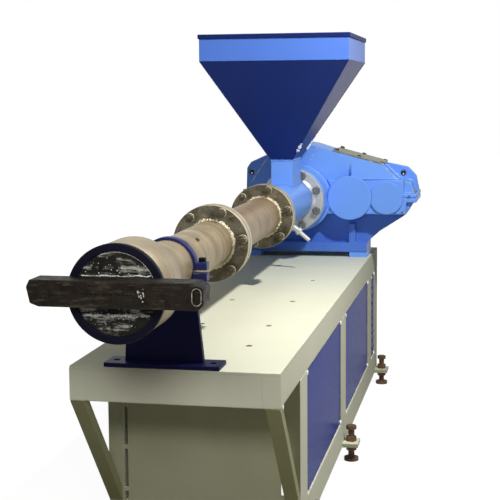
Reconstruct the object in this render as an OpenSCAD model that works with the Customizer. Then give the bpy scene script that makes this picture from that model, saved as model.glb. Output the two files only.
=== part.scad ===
// Plastic pelletizing machine: a single-screw extruder with its strand die,
// feed hopper and parallel-shaft gearbox on a welded, panelled steel table.
// Millimetres. X runs across the machine, Y along it from the die end to the
// gearbox end, Z up from the floor.

/* [Table] */
// Width of the table
table_w = 600; // [560:5:700]
// Clearance under the bottom rails
ground_clearance = 60; // [40:5:160]
// Length of table top that reaches out in front of the first posts
front_overhang = 335; // [250:5:450]
// Length of each long side panel bay
bay_l = 840; // [700:10:1000]
// Length of the louvred bay at the gearbox end
vent_bay_l = 138; // [120:1:220]
// Side of a post, seen from the side of the machine
post_l = 138; // [100:1:160]
// Width across of the posts and rails
section_w = 50; // [40:1:60]
// Height of the top rail, with the top plate
rail_h = 100; // [80:1:120]
// Thickness of the top plate
top_plate_t = 8; // [5:0.5:12]
// Depth from the table top to the bottom rail
bottom_rail_drop = 500; // [440:5:540]
// Height of the bottom rail
bottom_rail_h = 100; // [60:1:110]
// Diameter of the cable holes in the top plate
cable_hole_d = 20; // [12:1:26]

/* [Cladding] */
// Thickness of the sheet panels
panel_t = 2; // [1.5:0.5:4]
// Depth of the rebate that a side panel sits in
panel_rebate = 6; // [4:0.5:10]
// Width of the lip that a side panel is screwed to
panel_lip = 20; // [12:1:30]
// Shadow gap round a side panel
panel_gap = 4; // [2:0.5:8]
// Gap between the front panel and the posts
front_panel_gap = 10; // [6:0.5:16]
// Number of louvres in each vent panel
louvre_count = 9; // [5:1:12]

/* [Braces and feet] */
// Width of a front brace
brace_w = 42; // [30:1:50]
// Thickness of a front brace
brace_t = 30; // [20:1:40]
// Reach of a foot bracket beyond the side of the table
foot_reach = 60; // [45:1:80]
// Length of a foot bracket along the machine
foot_l = 90; // [60:1:120]
// Thickness of a foot bracket
foot_t = 16; // [10:1:20]
// Diameter of a levelling bolt
level_bolt_d = 24; // [16:1:30]
// Diameter of a levelling pad
level_pad_d = 56; // [44:1:60]
// Thickness of a levelling pad
level_pad_t = 14; // [8:1:20]

/* [Barrel] */
// Height of the screw axis above the table top
axis_h = 280; // [250:5:340]
// Offset of the screw axis from the middle of the table
axis_x = -20; // [-60:5:0]
// Outer diameter of the barrel shells
barrel_d = 148; // [140:1:160]
// Diameter of the barrel flanges
flange_d = 246; // [220:1:270]
// Thickness of one barrel flange
flange_t = 30; // [20:1:40]
// Length of the middle barrel shell
barrel_middle_l = 789; // [700:1:900]
// Length of the blue feed body
feed_l = 659; // [620:1:720]
// Diameter of the gearbox flange
gear_flange_d = 276; // [260:1:290]
// Thickness of the gearbox flange
gear_flange_t = 28; // [20:1:36]
// Diameter of the blue feed body
feed_body_d = 176; // [165:1:200]
// Diameter of the collar at the front of the feed body
feed_collar_d = 210; // [204:1:216]
// Length of that collar
feed_collar_l = 22; // [16:1:28]
// Diameter of the screw bore under the feed throat
screw_bore_d = 102; // [80:1:110]
// Outer diameter of the screw
screw_d = 100; // [78:1:108]
// Root diameter of the screw
screw_root_d = 66; // [50:1:76]

/* [Die head] */
// Diameter of the die head
head_d = 244; // [220:1:270]
// Place of the front of the die head, in front of the table
head_front = 430; // [380:5:480]
// Length of the wide head shell
head_shell_l = 150; // [120:1:200]
// Length of the dark head ring
head_ring_l = 18; // [12:1:30]
// Wall of the head ring
head_ring_wall = 20; // [12:1:26]
// Recess of the die face behind the ring's front edge
die_face_recess = 6; // [2:0.5:12]
// Length of the die bar across the machine
die_bar_l = 430; // [380:5:480]
// Height of the die bar
die_bar_h = 64; // [50:1:80]
// Depth of the die bar in front of the head ring
die_bar_t = 70; // [50:1:90]
// Height of the die bar's middle above the screw axis
die_bar_lift = 10; // [0:1:20]
// Number of strand holes
strand_count = 13; // [7:2:21]
// Pitch of the strand holes
strand_pitch = 10; // [8:0.5:14]
// Diameter of a strand hole
strand_d = 4; // [3:0.5:6]

/* [Stand] */
// Length across the machine of the stand's foot plate
stand_foot_l = 330; // [300:5:360]
// Depth of the stand's foot plate
stand_foot_w = 90; // [70:1:120]
// Thickness of the stand's foot plate
stand_foot_t = 12; // [8:1:20]
// Offset of the stand's foot from the screw axis
stand_dx = -14; // [-20:1:0]
// Width of the stand plate at its foot
stand_base_w = 226; // [200:1:240]
// Width of the stand plate at the clamp
stand_top_w = 146; // [130:1:160]
// Thickness of the stand plate
stand_t = 20; // [12:1:30]
// Wall of the clamp ring
clamp_wall = 8; // [6:1:14]
// Length of the clamp ring along the barrel
clamp_l = 30; // [22:1:40]
// Diameter of the bolt holes in the stand's foot plate
stand_hole_d = 18; // [12:1:22]

/* [Hopper] */
// Outer width of the hopper across the machine
hopper_w = 612; // [560:2:680]
// Outer length of the hopper along the machine
hopper_l = 600; // [540:2:640]
// Height of the hopper's upright band
hopper_band_h = 90; // [60:1:120]
// Height of the hopper's cone
hopper_cone_h = 412; // [360:2:460]
// Height of the stiffening rim
hopper_rim_h = 18; // [10:1:30]
// Thickness of the hopper sheet
hopper_t = 3; // [2:0.5:5]
// Outer width of the feed chute across the machine
chute_w = 90; // [80:1:110]
// Outer length of the feed chute along the machine
chute_l = 230; // [180:2:260]
// Height of the feed chute above the screw axis
chute_top = 192; // [170:1:230]
// Wall of the feed chute
chute_wall = 6; // [4:0.5:10]

/* [Gearbox] */
// Distance from the back of the gearbox to the end of the table
gear_end_gap = 135; // [40:5:160]
// Length of the gearbox housing along the machine
gear_l = 300; // [280:5:340]
// Length of the boss between the gearbox flange and the housing
gear_neck_l = 130; // [110:1:150]
// Diameter of that boss
gear_neck_d = 286; // [280:1:300]
// Diameter of the collar where the boss meets the housing
gear_collar_d = 306; // [300:1:310]
// Reach of the housing beyond the screw axis
gear_left_reach = 268; // [240:1:280]
// Reach of the housing beyond the input shaft
gear_right_reach = 135; // [120:1:150]
// Height of the housing above its shafts
gear_top_h = 248; // [230:1:270]
// Height of the bearing block above the shafts
block_top_h = 82; // [76:1:90]
// Distance from the screw axis to the middle shaft
shaft_2_dx = 237; // [225:1:245]
// Distance from the screw axis to the input shaft
shaft_3_dx = 403; // [395:1:410]
// Diameter of the middle bearing cover
cover_2_d = 200; // [180:1:210]
// Diameter of the input bearing cover
cover_3_d = 150; // [130:1:160]
// How far the bearing covers stand out
cover_t = 14; // [8:1:20]
// Thickness of the split flange of one housing half
split_t = 20; // [16:1:28]
// Height of the pedestal under the gearbox
pedestal_h = 205; // [190:1:215]
// Length of the pedestal along the machine
pedestal_l = 150; // [130:5:180]
// Recess of the pedestal behind the bearing covers' face
pedestal_recess = 100; // [80:5:120]
// Thickness of the pedestal's base flange
pedestal_foot_t = 44; // [25:1:50]
// Thickness of the packing strips under the pedestal
packing_t = 24; // [8:1:30]
// Diameter of the input shaft
input_shaft_d = 48; // [35:1:60]
// Length of the input shaft beyond the housing
input_shaft_l = 110; // [80:1:140]

/* [Hidden] */
$fn = 64;

cream = [0.88, 0.88, 0.79];
panel_blue = [0.22, 0.30, 0.58];
navy = [0.08, 0.10, 0.25];
machine_blue = [0.36, 0.54, 0.92];
steel = [0.62, 0.57, 0.47];
dark_steel = [0.33, 0.31, 0.27];
flange_grey = [0.72, 0.73, 0.72];
rust = [0.40, 0.25, 0.16];

// Places along the table, from its front edge.
post_pitch = post_l + bay_l;
post_ys = [front_overhang, front_overhang + post_pitch, front_overhang + 2 * post_pitch,
           front_overhang + 2 * post_pitch + post_l + vent_bay_l];
table_l = post_ys[3] + post_l;
frame_l = table_l - front_overhang;
bay_ys = [post_ys[0] + post_l, post_ys[1] + post_l, post_ys[2] + post_l];
bay_ls = [bay_l, bay_l, vent_bay_l];
table_height = ground_clearance + bottom_rail_h + bottom_rail_drop;
window_h = bottom_rail_drop - rail_h;
foot_ys = [post_ys[0] + post_l / 2 + foot_l, post_ys[1] + post_l / 2, post_ys[3] + post_l / 2];
cable_hole_xs = [-0.27, 0.48] * table_w / 2;
cable_hole_ys = [0.127, 0.244, 0.416, 0.599] * table_l;

// The barrel's joints, from the gearbox forward.
gear_face_y = table_l - gear_end_gap - gear_l;
gear_flange_y = gear_face_y - gear_neck_l - gear_flange_t;
flange_2_y = gear_flange_y - feed_l - 2 * flange_t;
flange_1_y = flange_2_y - barrel_middle_l - 2 * flange_t;

// The die head, from front to back.
head_y = -head_front;
shell_end_y = head_y + head_ring_l + head_shell_l;
clamp_y = stand_foot_w / 2 - clamp_l / 2;
die_bar_y = head_y - die_bar_t;
die_bore_r = head_d / 2 - head_ring_wall;
die_bar_root = 2 * sqrt(pow(die_bore_r, 2) - pow(die_bar_h / 2 + die_bar_lift, 2)) - 4;

// The water connection is under the feed body, behind the second joint.
nipple_y = flange_2_y + 487;
nipple_turn = 130.4;

// The hopper stands over the feed chute.
chute_gap = 40;
chute_y = gear_flange_y - chute_gap - chute_l;
hopper_y = chute_y + chute_l / 2 - hopper_l / 2;
hopper_z = axis_h + chute_top;
band_z = hopper_z + hopper_cone_h;
rim_z = band_z + hopper_band_h;

// The gearbox housing is outlined in X and Z round its three shafts.
gear_left = axis_x - gear_left_reach;
gear_right = axis_x + shaft_3_dx + gear_right_reach;
gear_rear_y = gear_face_y + gear_l;
housing_inset = 24;
block_left = axis_x + 0.3 * shaft_3_dx;
block_right = axis_x + 1.22 * shaft_3_dx;
pedestal_y = gear_face_y + pedestal_recess;
pedestal_half = table_w / 2 - 12;
rib_l = 0.4 * pedestal_recess;

// Upper housing from left to right. On the left each point is a share of the
// left reach and of the top height, on the right a share of the whole right reach.
upper_left = [[-0.9, 0], [-0.86, 0.23], [-0.78, 0.29], [-0.55, 0.69], [-0.15, 0.95], [0, 1]];
upper_right = [[0.11, 0.96], [0.285, 0.83], [0.714, 0.56], [0.836, 0.27], [0.95, 0.22], [0.975, 0]];
lug_left = [[-0.55, 0], [-0.55, 0.69], [-0.64, 0.73], [-0.92, 0.58], [-0.99, 0.46], [-1, 0.08], [-1, 0]];
lug_right = [[0.7, 0], [0.7, 0.55], [0.74, 0.58], [0.91, 0.5], [0.98, 0.33], [1, 0.1], [1, 0]];

// The origin is under the middle of the machine's box.
x_min = -table_w / 2 - foot_reach;
x_max = gear_right;
y_min = die_bar_y;
y_max = max(table_l, gear_rear_y + input_shaft_l);
origin_x = (x_min + x_max) / 2;
origin_y = (y_min + y_max) / 2;

// Moves from the table's frame of reference to the floor's.
module machine() {
    translate([-origin_x, -origin_y, table_height]) children();
}

// Box with its lower corner at a point.
module block(at, size) {
    translate(at) cube(size);
}

// Cylinder along the machine, on the screw axis or beside it.
module along(y, l, d, dx = 0) {
    translate([axis_x + dx, y, axis_h]) rotate([-90, 0, 0]) cylinder(d = d, h = l);
}

// Outline drawn in X and Z, extruded along the machine.
module profile(y, l) {
    translate([0, y + l, 0]) rotate([90, 0, 0]) linear_extrude(l) children();
}

// Mirror for the left side of the table.
module on_side(side) {
    if (side < 0) mirror([1, 0, 0]) children();
    else children();
}

module table_top() {
    color(cream) machine()
        difference() {
            block([-table_w / 2, 0, -top_plate_t], [table_w, table_l, top_plate_t]);
            for (x = cable_hole_xs, y = cable_hole_ys)
                translate([x, y, -top_plate_t - 1]) cylinder(d = cable_hole_d, h = top_plate_t + 2);
        }
}

module cross_rail(y, z, h) {
    color(cream) machine()
        block([-table_w / 2 + section_w, y, z], [table_w - 2 * section_w, section_w, h]);
}

module top_rail_front() {
    cross_rail(0, -rail_h, rail_h - top_plate_t);
}

module top_rail_rear() {
    cross_rail(table_l - section_w, -rail_h, rail_h - top_plate_t);
}

module top_rail(side) {
    color(cream) machine() on_side(side)
        block([table_w / 2 - section_w, 0, -rail_h], [section_w, table_l, rail_h - top_plate_t]);
}

module top_rail_left() {
    top_rail(-1);
}

module top_rail_right() {
    top_rail(1);
}

// Posts and bottom rail of one side, with a rebate round each window.
module side_frame(side) {
    color(cream) machine() on_side(side)
        difference() {
            block([table_w / 2 - section_w, front_overhang, -bottom_rail_drop - bottom_rail_h],
                  [section_w, frame_l, window_h + bottom_rail_h]);
            for (i = [0:2]) {
                block([table_w / 2 - panel_rebate, bay_ys[i], -bottom_rail_drop],
                      [panel_rebate + 1, bay_ls[i], window_h + 1]);
                block([table_w / 2 - section_w - 1, bay_ys[i] + panel_lip, -bottom_rail_drop + panel_lip],
                      [section_w + 2, bay_ls[i] - 2 * panel_lip, window_h - 2 * panel_lip]);
            }
        }
}

module side_frame_left() {
    side_frame(-1);
}

module side_frame_right() {
    side_frame(1);
}

module bottom_rail_front() {
    cross_rail(front_overhang, -bottom_rail_drop - bottom_rail_h, bottom_rail_h);
}

module bottom_rail_rear() {
    cross_rail(table_l - section_w, -bottom_rail_drop - bottom_rail_h, bottom_rail_h);
}

// Slanted brace from the front of the top rail back to the foot of the post.
module brace(side) {
    rise = window_h;
    run = front_overhang;
    slant = sqrt(rise * rise + run * run);
    depth = brace_t * slant / rise;
    color(cream) machine() on_side(side)
        translate([table_w / 2, 0, 0]) rotate([90, 0, -90]) linear_extrude(brace_w)
            polygon([[0, -rail_h], [-depth, -rail_h],
                     [-run, -bottom_rail_drop + brace_t * slant / run], [-run, -bottom_rail_drop]]);
}

module brace_left() {
    brace(-1);
}

module brace_right() {
    brace(1);
}

// Front sheet, tacked to the posts on both sides.
module front_panel() {
    half = table_w / 2 - section_w - front_panel_gap;
    front_panel_t = 4;
    tab_h = 14;
    color(cream) machine() {
        block([-half, front_overhang + front_panel_t, -bottom_rail_drop],
              [2 * half, front_panel_t, window_h]);
        for (s = [-1, 1], k = [0:2])
            translate([s < 0 ? -half - front_panel_gap : half, front_overhang + front_panel_t / 2,
                       -bottom_rail_drop + (k + 0.22) * window_h / 3])
                cube([front_panel_gap, 2 * front_panel_t, tab_h]);
    }
}

module rear_panel() {
    color(panel_blue) machine()
        block([-table_w / 2 + section_w, table_l - 6, -bottom_rail_drop],
              [table_w - 2 * section_w, panel_t, window_h]);
}

module side_panel(side, i) {
    color(panel_blue) machine() on_side(side)
        block([table_w / 2 - panel_rebate, bay_ys[i] + panel_gap, -bottom_rail_drop + panel_gap],
              [panel_t, bay_ls[i] - 2 * panel_gap, window_h - 2 * panel_gap]);
}

module side_panel_left_front() {
    side_panel(-1, 0);
}

module side_panel_left_rear() {
    side_panel(-1, 1);
}

module side_panel_right_front() {
    side_panel(1, 0);
}

module side_panel_right_rear() {
    side_panel(1, 1);
}

// Sheet with pressed louvres, each open along its lower edge.
module vent_panel(side) {
    louvre_l = vent_bay_l - 2 * panel_lip - 16;
    louvre_y = bay_ys[2] + (vent_bay_l - louvre_l) / 2;
    margin = 0.11 * window_h;
    louvre_pitch = (window_h - 1.8 * margin) / louvre_count;
    slot_h = 8;
    hood_h = 10;
    face_x = table_w / 2 - panel_rebate;
    color(panel_blue) machine() on_side(side) {
        difference() {
            block([face_x, bay_ys[2] + panel_gap, -bottom_rail_drop + panel_gap],
                  [panel_t, vent_bay_l - 2 * panel_gap, window_h - 2 * panel_gap]);
            for (i = [0:louvre_count - 1])
                block([face_x - 1, louvre_y, -bottom_rail_drop + margin + i * louvre_pitch],
                      [panel_t + 2, louvre_l, slot_h]);
        }
        for (i = [0:louvre_count - 1])
            translate([face_x + panel_t, louvre_y + louvre_l, -bottom_rail_drop + margin + i * louvre_pitch])
                rotate([90, 0, 0]) linear_extrude(louvre_l)
                    polygon([[0, slot_h], [0, slot_h + hood_h], [panel_rebate, slot_h / 2],
                             [panel_rebate, slot_h / 4], [0.75 * panel_rebate, slot_h / 4]]);
    }
}

module vent_panel_left() {
    vent_panel(-1);
}

module vent_panel_right() {
    vent_panel(1);
}

// Brackets that carry the levelling bolts outside the bottom rails.
module foot_brackets() {
    color(cream) machine()
        for (s = [-1, 1], y = foot_ys)
            on_side(s) difference() {
                block([table_w / 2, y - foot_l / 2, -bottom_rail_drop - bottom_rail_h],
                      [foot_reach, foot_l, foot_t]);
                translate([table_w / 2 + foot_reach / 2, y, -bottom_rail_drop - bottom_rail_h - 1])
                    cylinder(d = level_bolt_d + 1, h = foot_t + 2);
            }
}

// Threaded bolt with its pad, a nut on each side of the bracket and a hexagon head.
module levelling_feet() {
    nut_w = 1.7 * level_bolt_d;
    nut_h = 20;
    head_h = 16;
    bracket_top = ground_clearance + foot_t;
    bolt_top = bracket_top + 46;
    color(rust) machine()
        for (s = [-1, 1], y = foot_ys)
            translate([s * (table_w / 2 + foot_reach / 2), y, -table_height]) {
                cylinder(d = level_pad_d, h = level_pad_t);
                cylinder(d = level_bolt_d, h = bolt_top);
                translate([0, 0, ground_clearance - nut_h]) cylinder(d = nut_w, h = nut_h, $fn = 6);
                translate([0, 0, bracket_top]) cylinder(d = nut_w, h = nut_h, $fn = 6);
                translate([0, 0, bolt_top]) cylinder(d = nut_w, h = head_h, $fn = 6);
            }
}

// Foot plate and tapered upright that carry the clamp ring, wider on the left.
module barrel_stand() {
    clamp_d = barrel_d + 2 * clamp_wall;
    hole_edge = 26;
    cup_top = axis_h - 20;
    foot_x = axis_x + stand_dx;
    color(navy) machine()
        difference() {
            union() {
                block([foot_x - stand_foot_l / 2, 0, 0], [stand_foot_l, stand_foot_w, stand_foot_t]);
                profile(stand_foot_w / 2 - stand_t / 2, stand_t)
                    polygon([[foot_x - stand_base_w / 2, stand_foot_t - 1],
                             [foot_x + stand_base_w / 2, stand_foot_t - 1],
                             [axis_x + stand_top_w / 2, cup_top],
                             [axis_x - stand_top_w / 2, cup_top],
                             [foot_x - 0.47 * stand_base_w, 0.56 * axis_h]]);
            }
            along(-1, stand_foot_w + 2, clamp_d);
            for (s = [-1, 1])
                translate([foot_x + s * (stand_foot_l / 2 - hole_edge), stand_foot_w / 2, -1])
                    cylinder(d = stand_hole_d, h = stand_foot_t + 2);
        }
}

// Split ring round the barrel, bolted together through an ear on each side.
module clamp_ring() {
    clamp_d = barrel_d + 2 * clamp_wall;
    ear_w = 40;
    ear_h = 52;
    ear_z = axis_h - 12;
    split = 8;
    color(navy) machine()
        difference() {
            union() {
                along(clamp_y, clamp_l, clamp_d);
                for (s = [-1, 1])
                    block([axis_x + s * (clamp_d / 2 + 10) - ear_w / 2, clamp_y, ear_z - ear_h / 2],
                          [ear_w, clamp_l, ear_h]);
            }
            along(clamp_y - 1, clamp_l + 2, barrel_d);
            for (s = [-1, 1])
                block([axis_x + s * (clamp_d / 2 + 12) - ear_w / 2, clamp_y - 1, ear_z - split / 2],
                      [ear_w, clamp_l + 2, split]);
        }
}

module head_ring() {
    color(navy) machine()
        difference() {
            along(head_y, head_ring_l, head_d);
            along(head_y - 1, head_ring_l + 2, head_d - 2 * head_ring_wall);
        }
}

module die_face() {
    color(dark_steel) machine()
        along(head_y + die_face_recess, head_ring_l - die_face_recess, head_d - 2 * head_ring_wall);
}

// Bar across the head, with a row of strand holes and a pocket in its right end.
module die_bar() {
    mid = axis_h + die_bar_lift;
    low = mid - die_bar_h / 2;
    left = axis_x + 17 - die_bar_l / 2;
    right = left + die_bar_l;
    pocket_w = 22;
    pocket_h = 40;
    pocket_x = right - 16;
    color(dark_steel) machine()
        difference() {
            union() {
                block([axis_x - die_bar_root / 2, head_y - 1, low],
                      [die_bar_root, die_face_recess + 1, die_bar_h]);
                profile(die_bar_y, die_bar_t)
                    polygon([[left, low + 0.72 * die_bar_h], [left + 0.02 * die_bar_l, low + die_bar_h],
                             [right - 0.05 * die_bar_l, low + die_bar_h], [right, low + 0.82 * die_bar_h],
                             [right, low + 0.22 * die_bar_h], [right - 0.03 * die_bar_l, low],
                             [left + 0.07 * die_bar_l, low],
                             [left + 0.02 * die_bar_l, low + 0.12 * die_bar_h]]);
            }
            for (i = [0:strand_count - 1])
                translate([axis_x + 12 + (i - (strand_count - 1) / 2) * strand_pitch, die_bar_y - 1, mid])
                    rotate([-90, 0, 0]) cylinder(d = strand_d, h = die_bar_t / 3, $fn = 16);
            for (z = [mid - (pocket_h - pocket_w) / 2, mid + (pocket_h - pocket_w) / 2])
                translate([pocket_x, die_bar_y - 1, z])
                    rotate([-90, 0, 0]) cylinder(d = pocket_w, h = die_bar_t / 6);
            block([pocket_x - pocket_w / 2, die_bar_y - 1, mid - (pocket_h - pocket_w) / 2],
                  [pocket_w, die_bar_t / 6, pocket_h - pocket_w]);
        }
}

module head_shell() {
    color(steel) machine()
        along(head_y + head_ring_l, head_shell_l, head_d - 4);
}

module barrel_front() {
    color(steel) machine()
        along(shell_end_y, flange_1_y - shell_end_y, barrel_d);
}

module barrel_flange(y) {
    along(y, flange_t, flange_d);
}

module flange_1_front() {
    color(dark_steel) machine() barrel_flange(flange_1_y);
}

module flange_1_rear() {
    color(steel) machine() barrel_flange(flange_1_y + flange_t);
}

module barrel_middle() {
    y = flange_1_y + 2 * flange_t;
    color(steel) machine() along(y, flange_2_y - y, barrel_d);
}

module flange_2_front() {
    color(dark_steel) machine() barrel_flange(flange_2_y);
}

module flange_2_rear() {
    color(steel) machine() barrel_flange(flange_2_y + flange_t);
}

// Feed body with its front collar, and the screw bore open to the chute above it.
module feed_body() {
    y = flange_2_y + 2 * flange_t;
    color(machine_blue) machine()
        difference() {
            union() {
                along(y, gear_flange_y - y, feed_body_d);
                along(y, feed_collar_l, feed_collar_d);
            }
            along(chute_y - 60, chute_l + 90, screw_bore_d);
            block([axis_x - chute_w / 2 + chute_wall, chute_y + chute_wall, axis_h],
                  [chute_w - 2 * chute_wall, chute_l - 2 * chute_wall, feed_body_d]);
        }
}

// Screw in the feed bore, with a helical flight that shows through the throat.
module feed_screw() {
    y = chute_y - 60;
    l = chute_l + 90;
    pitch = screw_d;
    flight_turn = 36;
    color(steel) machine() {
        along(y, l, screw_root_d);
        translate([axis_x, y, axis_h]) rotate([-90, 0, 0])
            linear_extrude(height = l, twist = 360 * l / pitch, slices = 80)
                polygon([[0, 0], for (a = [0:flight_turn / 4:flight_turn])
                         [screw_d / 2 * cos(a), screw_d / 2 * sin(a)]]);
    }
}

module gearbox_flange() {
    color(flange_grey) machine() along(gear_flange_y, gear_flange_t, gear_flange_d);
}

// Water connection under the feed body's jacket.
module cooling_nipple() {
    hex_w = 34;
    pipe_d = 24;
    tail_d = 17;
    color(flange_grey) machine()
        difference() {
            translate([axis_x + 0.35 * feed_body_d / 2, nipple_y, axis_h - 0.92 * feed_body_d / 2])
                rotate([0, nipple_turn, 0]) {
                    translate([0, 0, -15]) cylinder(d = pipe_d, h = 60);
                    translate([0, 0, 40]) cylinder(d = hex_w, h = 14, $fn = 6);
                    translate([0, 0, 50]) cylinder(d = tail_d, h = 56);
                }
            along(nipple_y - 40, 80, feed_body_d);
        }
}

// Open rectangular chute between the feed body and the hopper.
module feed_chute() {
    color(machine_blue) machine()
        difference() {
            block([axis_x - chute_w / 2, chute_y, axis_h + feed_body_d / 4],
                  [chute_w, chute_l, chute_top - feed_body_d / 4]);
            block([axis_x - chute_w / 2 + chute_wall, chute_y + chute_wall, axis_h],
                  [chute_w - 2 * chute_wall, chute_l - 2 * chute_wall, chute_top + 1]);
            along(chute_y - 1, chute_l + 2, feed_body_d);
        }
}

// Four-sided frustum between two rectangles, both centred on the chute.
module frustum(z0, z1, w0, l0, w1, l1) {
    cx = axis_x;
    cy = chute_y + chute_l / 2;
    corners = [[-1, -1], [1, -1], [1, 1], [-1, 1]];
    polyhedron(
        [for (c = corners) [cx + c[0] * w0 / 2, cy + c[1] * l0 / 2, z0],
         for (c = corners) [cx + c[0] * w1 / 2, cy + c[1] * l1 / 2, z1]],
        [[0, 1, 2, 3], [7, 6, 5, 4], [4, 5, 1, 0], [5, 6, 2, 1], [6, 7, 3, 2], [7, 4, 0, 3]]);
}

module hopper_cone() {
    color(navy) machine()
        difference() {
            frustum(hopper_z, band_z, chute_w, chute_l, hopper_w, hopper_l);
            frustum(hopper_z - 0.01, band_z + 0.01, chute_w - 2 * chute_wall, chute_l - 2 * chute_wall,
                    hopper_w - 2 * hopper_t, hopper_l - 2 * hopper_t);
        }
}

// Square ring standing on the hopper's centre line.
module square_ring(z, h, w, l, wall) {
    difference() {
        block([axis_x - w / 2, hopper_y + hopper_l / 2 - l / 2, z], [w, l, h]);
        block([axis_x - w / 2 + wall, hopper_y + hopper_l / 2 - l / 2 + wall, z - 1],
              [w - 2 * wall, l - 2 * wall, h + 2]);
    }
}

module hopper_band() {
    color(machine_blue) machine() square_ring(band_z, hopper_band_h, hopper_w, hopper_l, hopper_t);
}

module hopper_rim() {
    color(navy) machine() square_ring(rim_z, hopper_rim_h, hopper_w + 10, hopper_l + 10, 20);
}

// Outline points from shares of a reach beside the screw axis and of the top height.
function outline(shares, reach) =
    [for (p = shares) [axis_x + p[0] * reach, axis_h + split_t + p[1] * (gear_top_h - split_t)]];

// Boss and collar behind the gearbox flange, wider by a clearance where it cuts.
module gear_neck(clearance) {
    y = gear_flange_y + gear_flange_t;
    along(y, gear_neck_l + housing_inset, gear_neck_d + 2 * clearance);
    along(gear_face_y - 16, 16 + housing_inset, gear_collar_d + 2 * clearance);
}

// Lower half of the housing, with the bearing block on its front face.
module gearbox_lower() {
    split_z = axis_h - split_t;
    color(machine_blue) machine() {
        profile(gear_face_y + housing_inset, gear_l - 2 * housing_inset)
            polygon([[gear_left + 28, split_z], [gear_left + 28, pedestal_h], [block_right - 12, pedestal_h],
                     [gear_right - 26, split_z - 20], [gear_right - 18, split_z]]);
        block([gear_left, gear_face_y, split_z], [gear_right - gear_left, gear_l, split_t]);
        block([block_left, gear_face_y, pedestal_h],
              [block_right - block_left, gear_l, split_z - pedestal_h]);
        difference() {
            gear_neck(0);
            along(gear_face_y - gear_neck_l, gear_neck_l, cover_2_d + 1, shaft_2_dx);
        }
    }
}

// Upper half, highest over the screw axis and sloping down to the input shaft,
// with a lifting lug at each end and a gusset over the bearing block.
module gearbox_upper() {
    lug_t = 30;
    lug_y = gear_face_y + gear_l / 2 - lug_t / 2;
    lug_hole_d = 24;
    lug_hole_z = axis_h + 0.42 * gear_top_h;
    gusset_x = axis_x + 0.99 * shaft_2_dx;
    gusset_back = gear_face_y + housing_inset + 1;
    ledge_z = axis_h + block_top_h - 1;
    right_reach = gear_right - axis_x;
    color(machine_blue) machine()
        difference() {
            union() {
                profile(gear_face_y + housing_inset, gear_l - 2 * housing_inset)
                    polygon(concat(outline(upper_left, gear_left_reach), outline(upper_right, right_reach)));
                profile(lug_y, lug_t) polygon(outline(lug_left, gear_left_reach));
                profile(lug_y, lug_t) polygon(outline(lug_right, right_reach));
                block([gear_left, gear_face_y, axis_h], [gear_right - gear_left, gear_l, split_t]);
                block([block_left, gear_face_y, axis_h],
                      [block_right - block_left - 12, gear_l, block_top_h]);
                translate([gusset_x, 0, 0]) rotate([90, 0, 90]) linear_extrude(8)
                    polygon([[gear_face_y, ledge_z], [gusset_back, axis_h + 0.66 * gear_top_h],
                             [gusset_back, ledge_z]]);
            }
            gear_neck(1);
            for (x = [axis_x - 0.9 * gear_left_reach, axis_x + 0.87 * right_reach])
                translate([x, lug_y - 1, lug_hole_z]) rotate([-90, 0, 0])
                    cylinder(d = lug_hole_d, h = lug_t + 2);
        }
}

// Cover plate that lies on the housing's slope.
module gearbox_cover_plate() {
    plate_t = 8;
    low = outline(upper_right, gear_right - axis_x)[2];
    high = outline(upper_right, gear_right - axis_x)[1];
    slope = atan2(high[1] - low[1], low[0] - high[0]);
    color(flange_grey) machine()
        translate([high[0], gear_face_y + housing_inset + 4, high[1]]) rotate([0, slope, 0])
            cube([norm(high - low), gear_l - 2 * housing_inset - 8, plate_t]);
}

module bearing_cover_middle() {
    color(machine_blue) machine()
        along(gear_face_y - cover_t, cover_t, cover_2_d, shaft_2_dx);
}

module bearing_cover_input() {
    color(machine_blue) machine()
        difference() {
            along(gear_face_y - cover_t + 2, cover_t - 2, cover_3_d, shaft_3_dx);
            along(gear_face_y - cover_t, cover_t + 1, cover_2_d, shaft_2_dx);
        }
}

// Welded pedestal, wider at the top on the input side, with one front rib.
module gearbox_pedestal() {
    foot_z = packing_t + pedestal_foot_t;
    rib_x = axis_x + 0.56 * shaft_3_dx;
    rib_w = 30;
    color(machine_blue) machine() {
        block([-pedestal_half, pedestal_y - rib_l, packing_t],
              [2 * pedestal_half, pedestal_l + rib_l, pedestal_foot_t]);
        profile(pedestal_y, pedestal_l)
            polygon([[-pedestal_half + 30, foot_z], [pedestal_half, foot_z],
                     [pedestal_half + 0.14 * shaft_3_dx, 0.58 * pedestal_h],
                     [block_right - 14, pedestal_h - 13], [block_right - 14, pedestal_h],
                     [gear_left + 28, pedestal_h]]);
        block([rib_x, pedestal_y - rib_l, foot_z - 1], [rib_w, rib_l, 0.76 * pedestal_h - foot_z + 1]);
    }
}

module packing_strips() {
    strip_w = 80;
    color(machine_blue) machine()
        for (x = [-pedestal_half, pedestal_half - strip_w])
            block([x, pedestal_y - rib_l + 4, 0], [strip_w, pedestal_l + rib_l - 8, packing_t]);
}

module input_shaft() {
    color(flange_grey) machine()
        along(gear_rear_y, input_shaft_l, input_shaft_d, shaft_3_dx);
}

table_top();
top_rail_front();
top_rail_rear();
top_rail_left();
top_rail_right();
side_frame_left();
side_frame_right();
bottom_rail_front();
bottom_rail_rear();
brace_left();
brace_right();
front_panel();
rear_panel();
side_panel_left_front();
side_panel_left_rear();
side_panel_right_front();
side_panel_right_rear();
vent_panel_left();
vent_panel_right();
foot_brackets();
levelling_feet();
barrel_stand();
clamp_ring();
head_ring();
die_face();
die_bar();
head_shell();
barrel_front();
flange_1_front();
flange_1_rear();
barrel_middle();
flange_2_front();
flange_2_rear();
feed_body();
feed_screw();
gearbox_flange();
cooling_nipple();
feed_chute();
hopper_cone();
hopper_band();
hopper_rim();
gearbox_lower();
gearbox_upper();
gearbox_cover_plate();
bearing_cover_middle();
bearing_cover_input();
gearbox_pedestal();
packing_strips();
input_shaft();
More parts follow.
